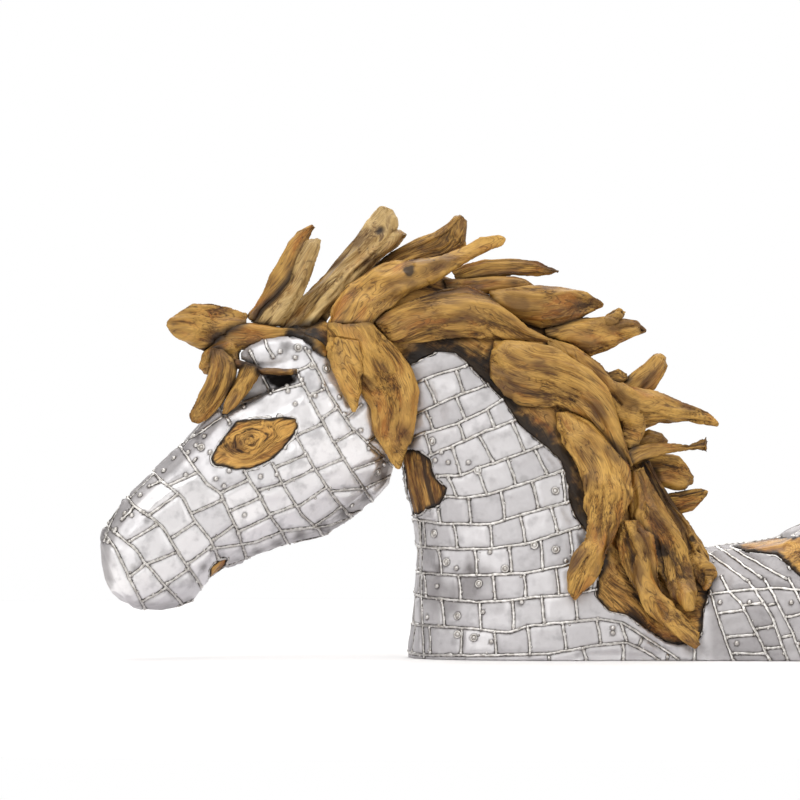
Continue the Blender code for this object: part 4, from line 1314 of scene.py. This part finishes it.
def wood(name, light, gold, brown, stain, warm):
    """Finish of a wood, from four shades and the tint of its warmer patches."""
    made, tree, shader = finish(name)
    grain = add(tree, "ShaderNodeAttribute", {"attribute_name": "grain"}, {}, "Vector")
    hollow, meets, char_and_shade, knot, tone, sap, opened = (
        add(tree, "ShaderNodeAttribute", {"attribute_name": n}, {}, "Fac")
        for n in ("hollow", "meets", "char_and_shade", "knot", "tone", "stain", "opened"))
    drawn = {}
    for kind, (along, across, detail, warp) in STREAKS.items():
        scaled = add(tree, "ShaderNodeMapping", {},
                     {"Vector": grain, "Scale": (1 / along, 1 / across, 1 / across)})
        drawn[kind] = add(tree, "ShaderNodeTexNoise", {},
                          {"Vector": scaled, "Scale": 1.0, "Detail": detail, "Distortion": warp})
    levels = add(tree, "ShaderNodeMath", {"operation": "MULTIPLY"}, {0: drawn["rings"], 1: RINGS})
    level = add(tree, "ShaderNodeMath", {"operation": "PINGPONG"}, {0: levels, 1: 0.5})
    ring_depth, hatch, rough, depth = (
        add(tree, "ShaderNodeMapRange", EASED, {0: value, 1: start, 2: end, 3: low, 4: high})
        for value, start, end, low, high in (
            (drawn["patch"], 0.35, 0.62, 0.35, 0.90), (opened, 0.0, 1.0, 0.12, 0.62),
            (opened, 0.0, 1.0, 0.46, 0.68), (opened, 0.0, 1.0, 0.35, 1.0)))
    body = add(tree, "ShaderNodeValToRGB", {}, {"Fac": drawn["broad"]},
               stops=((0.28, brown), (0.40, gold), (0.53, light), (0.66, gold), (0.78, brown)))
    for value, start, end, most, colour in (
            (tone, 0.0, 1.0, 0.42, brown),
            (drawn["warm"], 0.50, 0.68, 0.60, warm),
            (drawn["patch"], 0.48, 0.68, 0.55, "#5E4128"),
            (level, 0.20, 0.0, ring_depth, "#56391A"),
            (drawn["lines"], 0.52, 0.60, hatch, brown),
            (drawn["fibre"], 0.52, 0.60, hatch, stain),
            (drawn["fibre"], 0.46, 0.36, 0.30, light),
            # Painted highlight on the crests.
            (hollow, 0.28, 0.0, 0.50, light),
            (sap, 0.0, 1.0, 0.66, "#4A2D1A"),
            # Painted shade in the hollows.
            (hollow, 0.40, 0.95, 0.90, stain),
            (drawn["lines"], 0.66, 0.72, 0.70, SPLIT_AND_CONTACT_SHADE),
            (knot, 0.25, 0.9, 0.90, SPLIT_AND_CONTACT_SHADE),
            # Painted shade where pieces meet.
            (meets, 0.013, 0.001, 0.92, SPLIT_AND_CONTACT_SHADE),
            # Char by the steel, with painted shade under the mane and along the brow's edge.
            (char_and_shade, 0.0, 0.9, 0.96, BURNT_AND_SHADE)):
        amount = add(tree, "ShaderNodeMapRange", EASED, {0: value, 1: start, 2: end, 3: 0.0, 4: most})
        body = add(tree, "ShaderNodeMix", COLOURS, {0: amount, 6: body, 7: colour}, 2)
    bump = add(tree, "ShaderNodeBump", {}, {"Height": level, "Strength": 0.35, "Distance": 0.0010})
    for height, distance in ((drawn["lines"], 0.0030), (drawn["fibre"], 0.0012)):
        bump = add(tree, "ShaderNodeBump", {},
                   {"Height": height, "Strength": depth, "Distance": distance, "Normal": bump})
    for socket, value in (("Base Color", body), ("Roughness", rough), ("Normal", bump)):
        tree.links.new(value, shader.inputs[socket])
    shader.inputs["IOR"].default_value = 1.5
    shader.inputs["Specular IOR Level"].default_value = 0.35
    return made


driftwood = wood("waxed_driftwood", "#CDA051", "#9E7230", "#64431A", "#382412", "#A25E20")
pale_wood = wood("pale_split_driftwood", "#DDBE82", "#B08D50", "#6F5228", "#402C18", "#A8742F")
inlay_wood = wood("carved_charred_wood", "#D8A656", "#A67332", "#64401A", "#2C1B0E", "#9A5820")
print(driftwood.name, pale_wood.name, inlay_wood.name)

# %% [markdown]
# Each piece gets its finish, says which CAD node it stands for, and rides on the one body. The pole and the
# front spike are the paler wood.

# %% Dress and hand over the pieces
PALE = ("crest_pole", "spike_front")


def dress(piece, material, slot, *stands_for):
    """Gives a piece its material, and lets it stand for CAD nodes. The slot is not used."""
    piece.data.materials.clear()
    piece.data.materials.append(material)
    if stands_for:
        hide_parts(*stands_for)
    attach(piece, "root")


steel_pieces = (head_beads, neck_beads, rim_beads, nails, lumps)
dress(skin, sheet_steel, "welded_steel", "steel_skin")
for piece in steel_pieces:
    dress(piece, bead_steel, "welded_steel")
for node, (piece, _) in wood_pieces.items():
    if node in INLAYS:
        dress(piece, inlay_wood, "carved_core", node)
    elif node in PALE:
        dress(piece, pale_wood, "pale_driftwood", node)
    else:
        dress(piece, driftwood, "driftwood", node)
print(1 + len(steel_pieces) + len(wood_pieces), "pieces dressed")

# %% [markdown]
# ## The studio
# A pale floor runs off to a pale surround, so the bust stands alone. It's matt, because a glossy one would
# mirror the neck.

# %% Floor
FLOOR_RADIUS = 3.4
BELOW = -0.0005       # so that the neck's foot and the floor don't share a plane
pick()
bpy.ops.mesh.primitive_circle_add(vertices=96, radius=FLOOR_RADIUS, fill_type="NGON", location=(0, 0, BELOW))
floor = bpy.context.object
floor.name = "studio_floor"
matt, tree, shader = finish("matt_pale_floor")
shader.inputs["Base Color"].default_value = tint("#F4F3F2")
shader.inputs["Roughness"].default_value = 0.9
floor.data.materials.append(matt)
print("floor of radius", FLOOR_RADIUS, "m")

# %% [markdown]
# Large soft lights from the camera's side, from above and from behind give the steel something broad to
# reflect. A lamp looks along its own -Z, so it's turned until its +Z points away from the horse.

# %% Lamps
AIM = Vector((0, 0, 0.4))
for name, at, size, power in (
        ("key", (-2.4, -3.6, 3.4), 5.6, 142), ("fill", (3.4, -4.0, 2.2), 3.6, 48),
        ("top", (0.4, 0.3, 3.8), 4.2, 115), ("rear", (-1.0, 4.6, 2.8), 4.2, 115)):
    bpy.ops.object.light_add(type="AREA", location=at)
    lamp = bpy.context.object
    lamp.name = name
    lamp.data.size = size
    lamp.data.energy = power
    lamp.rotation_euler = (Vector(at) - AIM).to_track_quat("Z", "Y").to_euler()
print("four lamps")

# %% [markdown]
# A grey card lies just over the floor, and only reflections see it, so the jaw doesn't burn out. The surround
# is darker overhead and toward the horse's front, so the plates there have a gradient.

# %% Card and surround
pick()
bpy.ops.mesh.primitive_circle_add(vertices=48, radius=0.5, fill_type="NGON", location=(-0.05, 0, 0.0004))
card = bpy.context.object
card.name = "studio_card"
card.scale = (1.4, 0.8, 1)
card.visible_camera = card.visible_diffuse = card.visible_shadow = False
dull, tree, shader = finish("grey_card")
shader.inputs["Base Color"].default_value = tint("#DAD8DB")
shader.inputs["Roughness"].default_value = 1.0
card.data.materials.append(dull)
world = bpy.data.worlds.new("studio")
bpy.context.scene.world = world
world.use_nodes = True
tree = world.node_tree
look = add(tree, "ShaderNodeTexCoord", {}, {}, "Generated")
x, y, z = (add(tree, "ShaderNodeSeparateXYZ", {}, {0: look}, k) for k in range(3))
sky = "#C9C7C6"
for value, start, end, colour in (
        (y, -0.55, 0.75, "#FFFFFF"), (x, -0.1, -1.0, "#B4B2B4"), (z, 0.05, 0.7, "#A19F9F")):
    amount = add(tree, "ShaderNodeMapRange", EASED, {0: value, 1: start, 2: end, 3: 0.0, 4: 1.0})
    sky = add(tree, "ShaderNodeMix", COLOURS, {0: amount, 6: sky, 7: colour}, 2)
tree.links.new(sky, tree.nodes["Background"].inputs["Color"])
bpy.context.scene.view_settings.view_transform = "Standard"
print("a card and a pale surround")

# %% [markdown]
# The photograph is level and taken from far off with a long lens, so the camera stands 12 m away and looks
# straight along +Y. Its lens is worked out from the scale of the photograph, which is one step to a pixel.

# %% Camera
AWAY = 12.0
SENSOR = 36.0         # mm
PIXELS = 800          # across the photograph
centre = spot(PIXELS / 2, PIXELS / 2)
bpy.ops.object.camera_add(location=(centre.x, -AWAY, centre.z), rotation=(math.pi / 2, 0, 0))
camera = bpy.context.object
camera.name = "camera"
camera.data.sensor_width = SENSOR
camera.data.lens = SENSOR * AWAY / (PIXELS * STEP)
camera.data.clip_end = 100.0
bpy.context.scene.camera = camera
print("lens", round(camera.data.lens, 1), "mm")
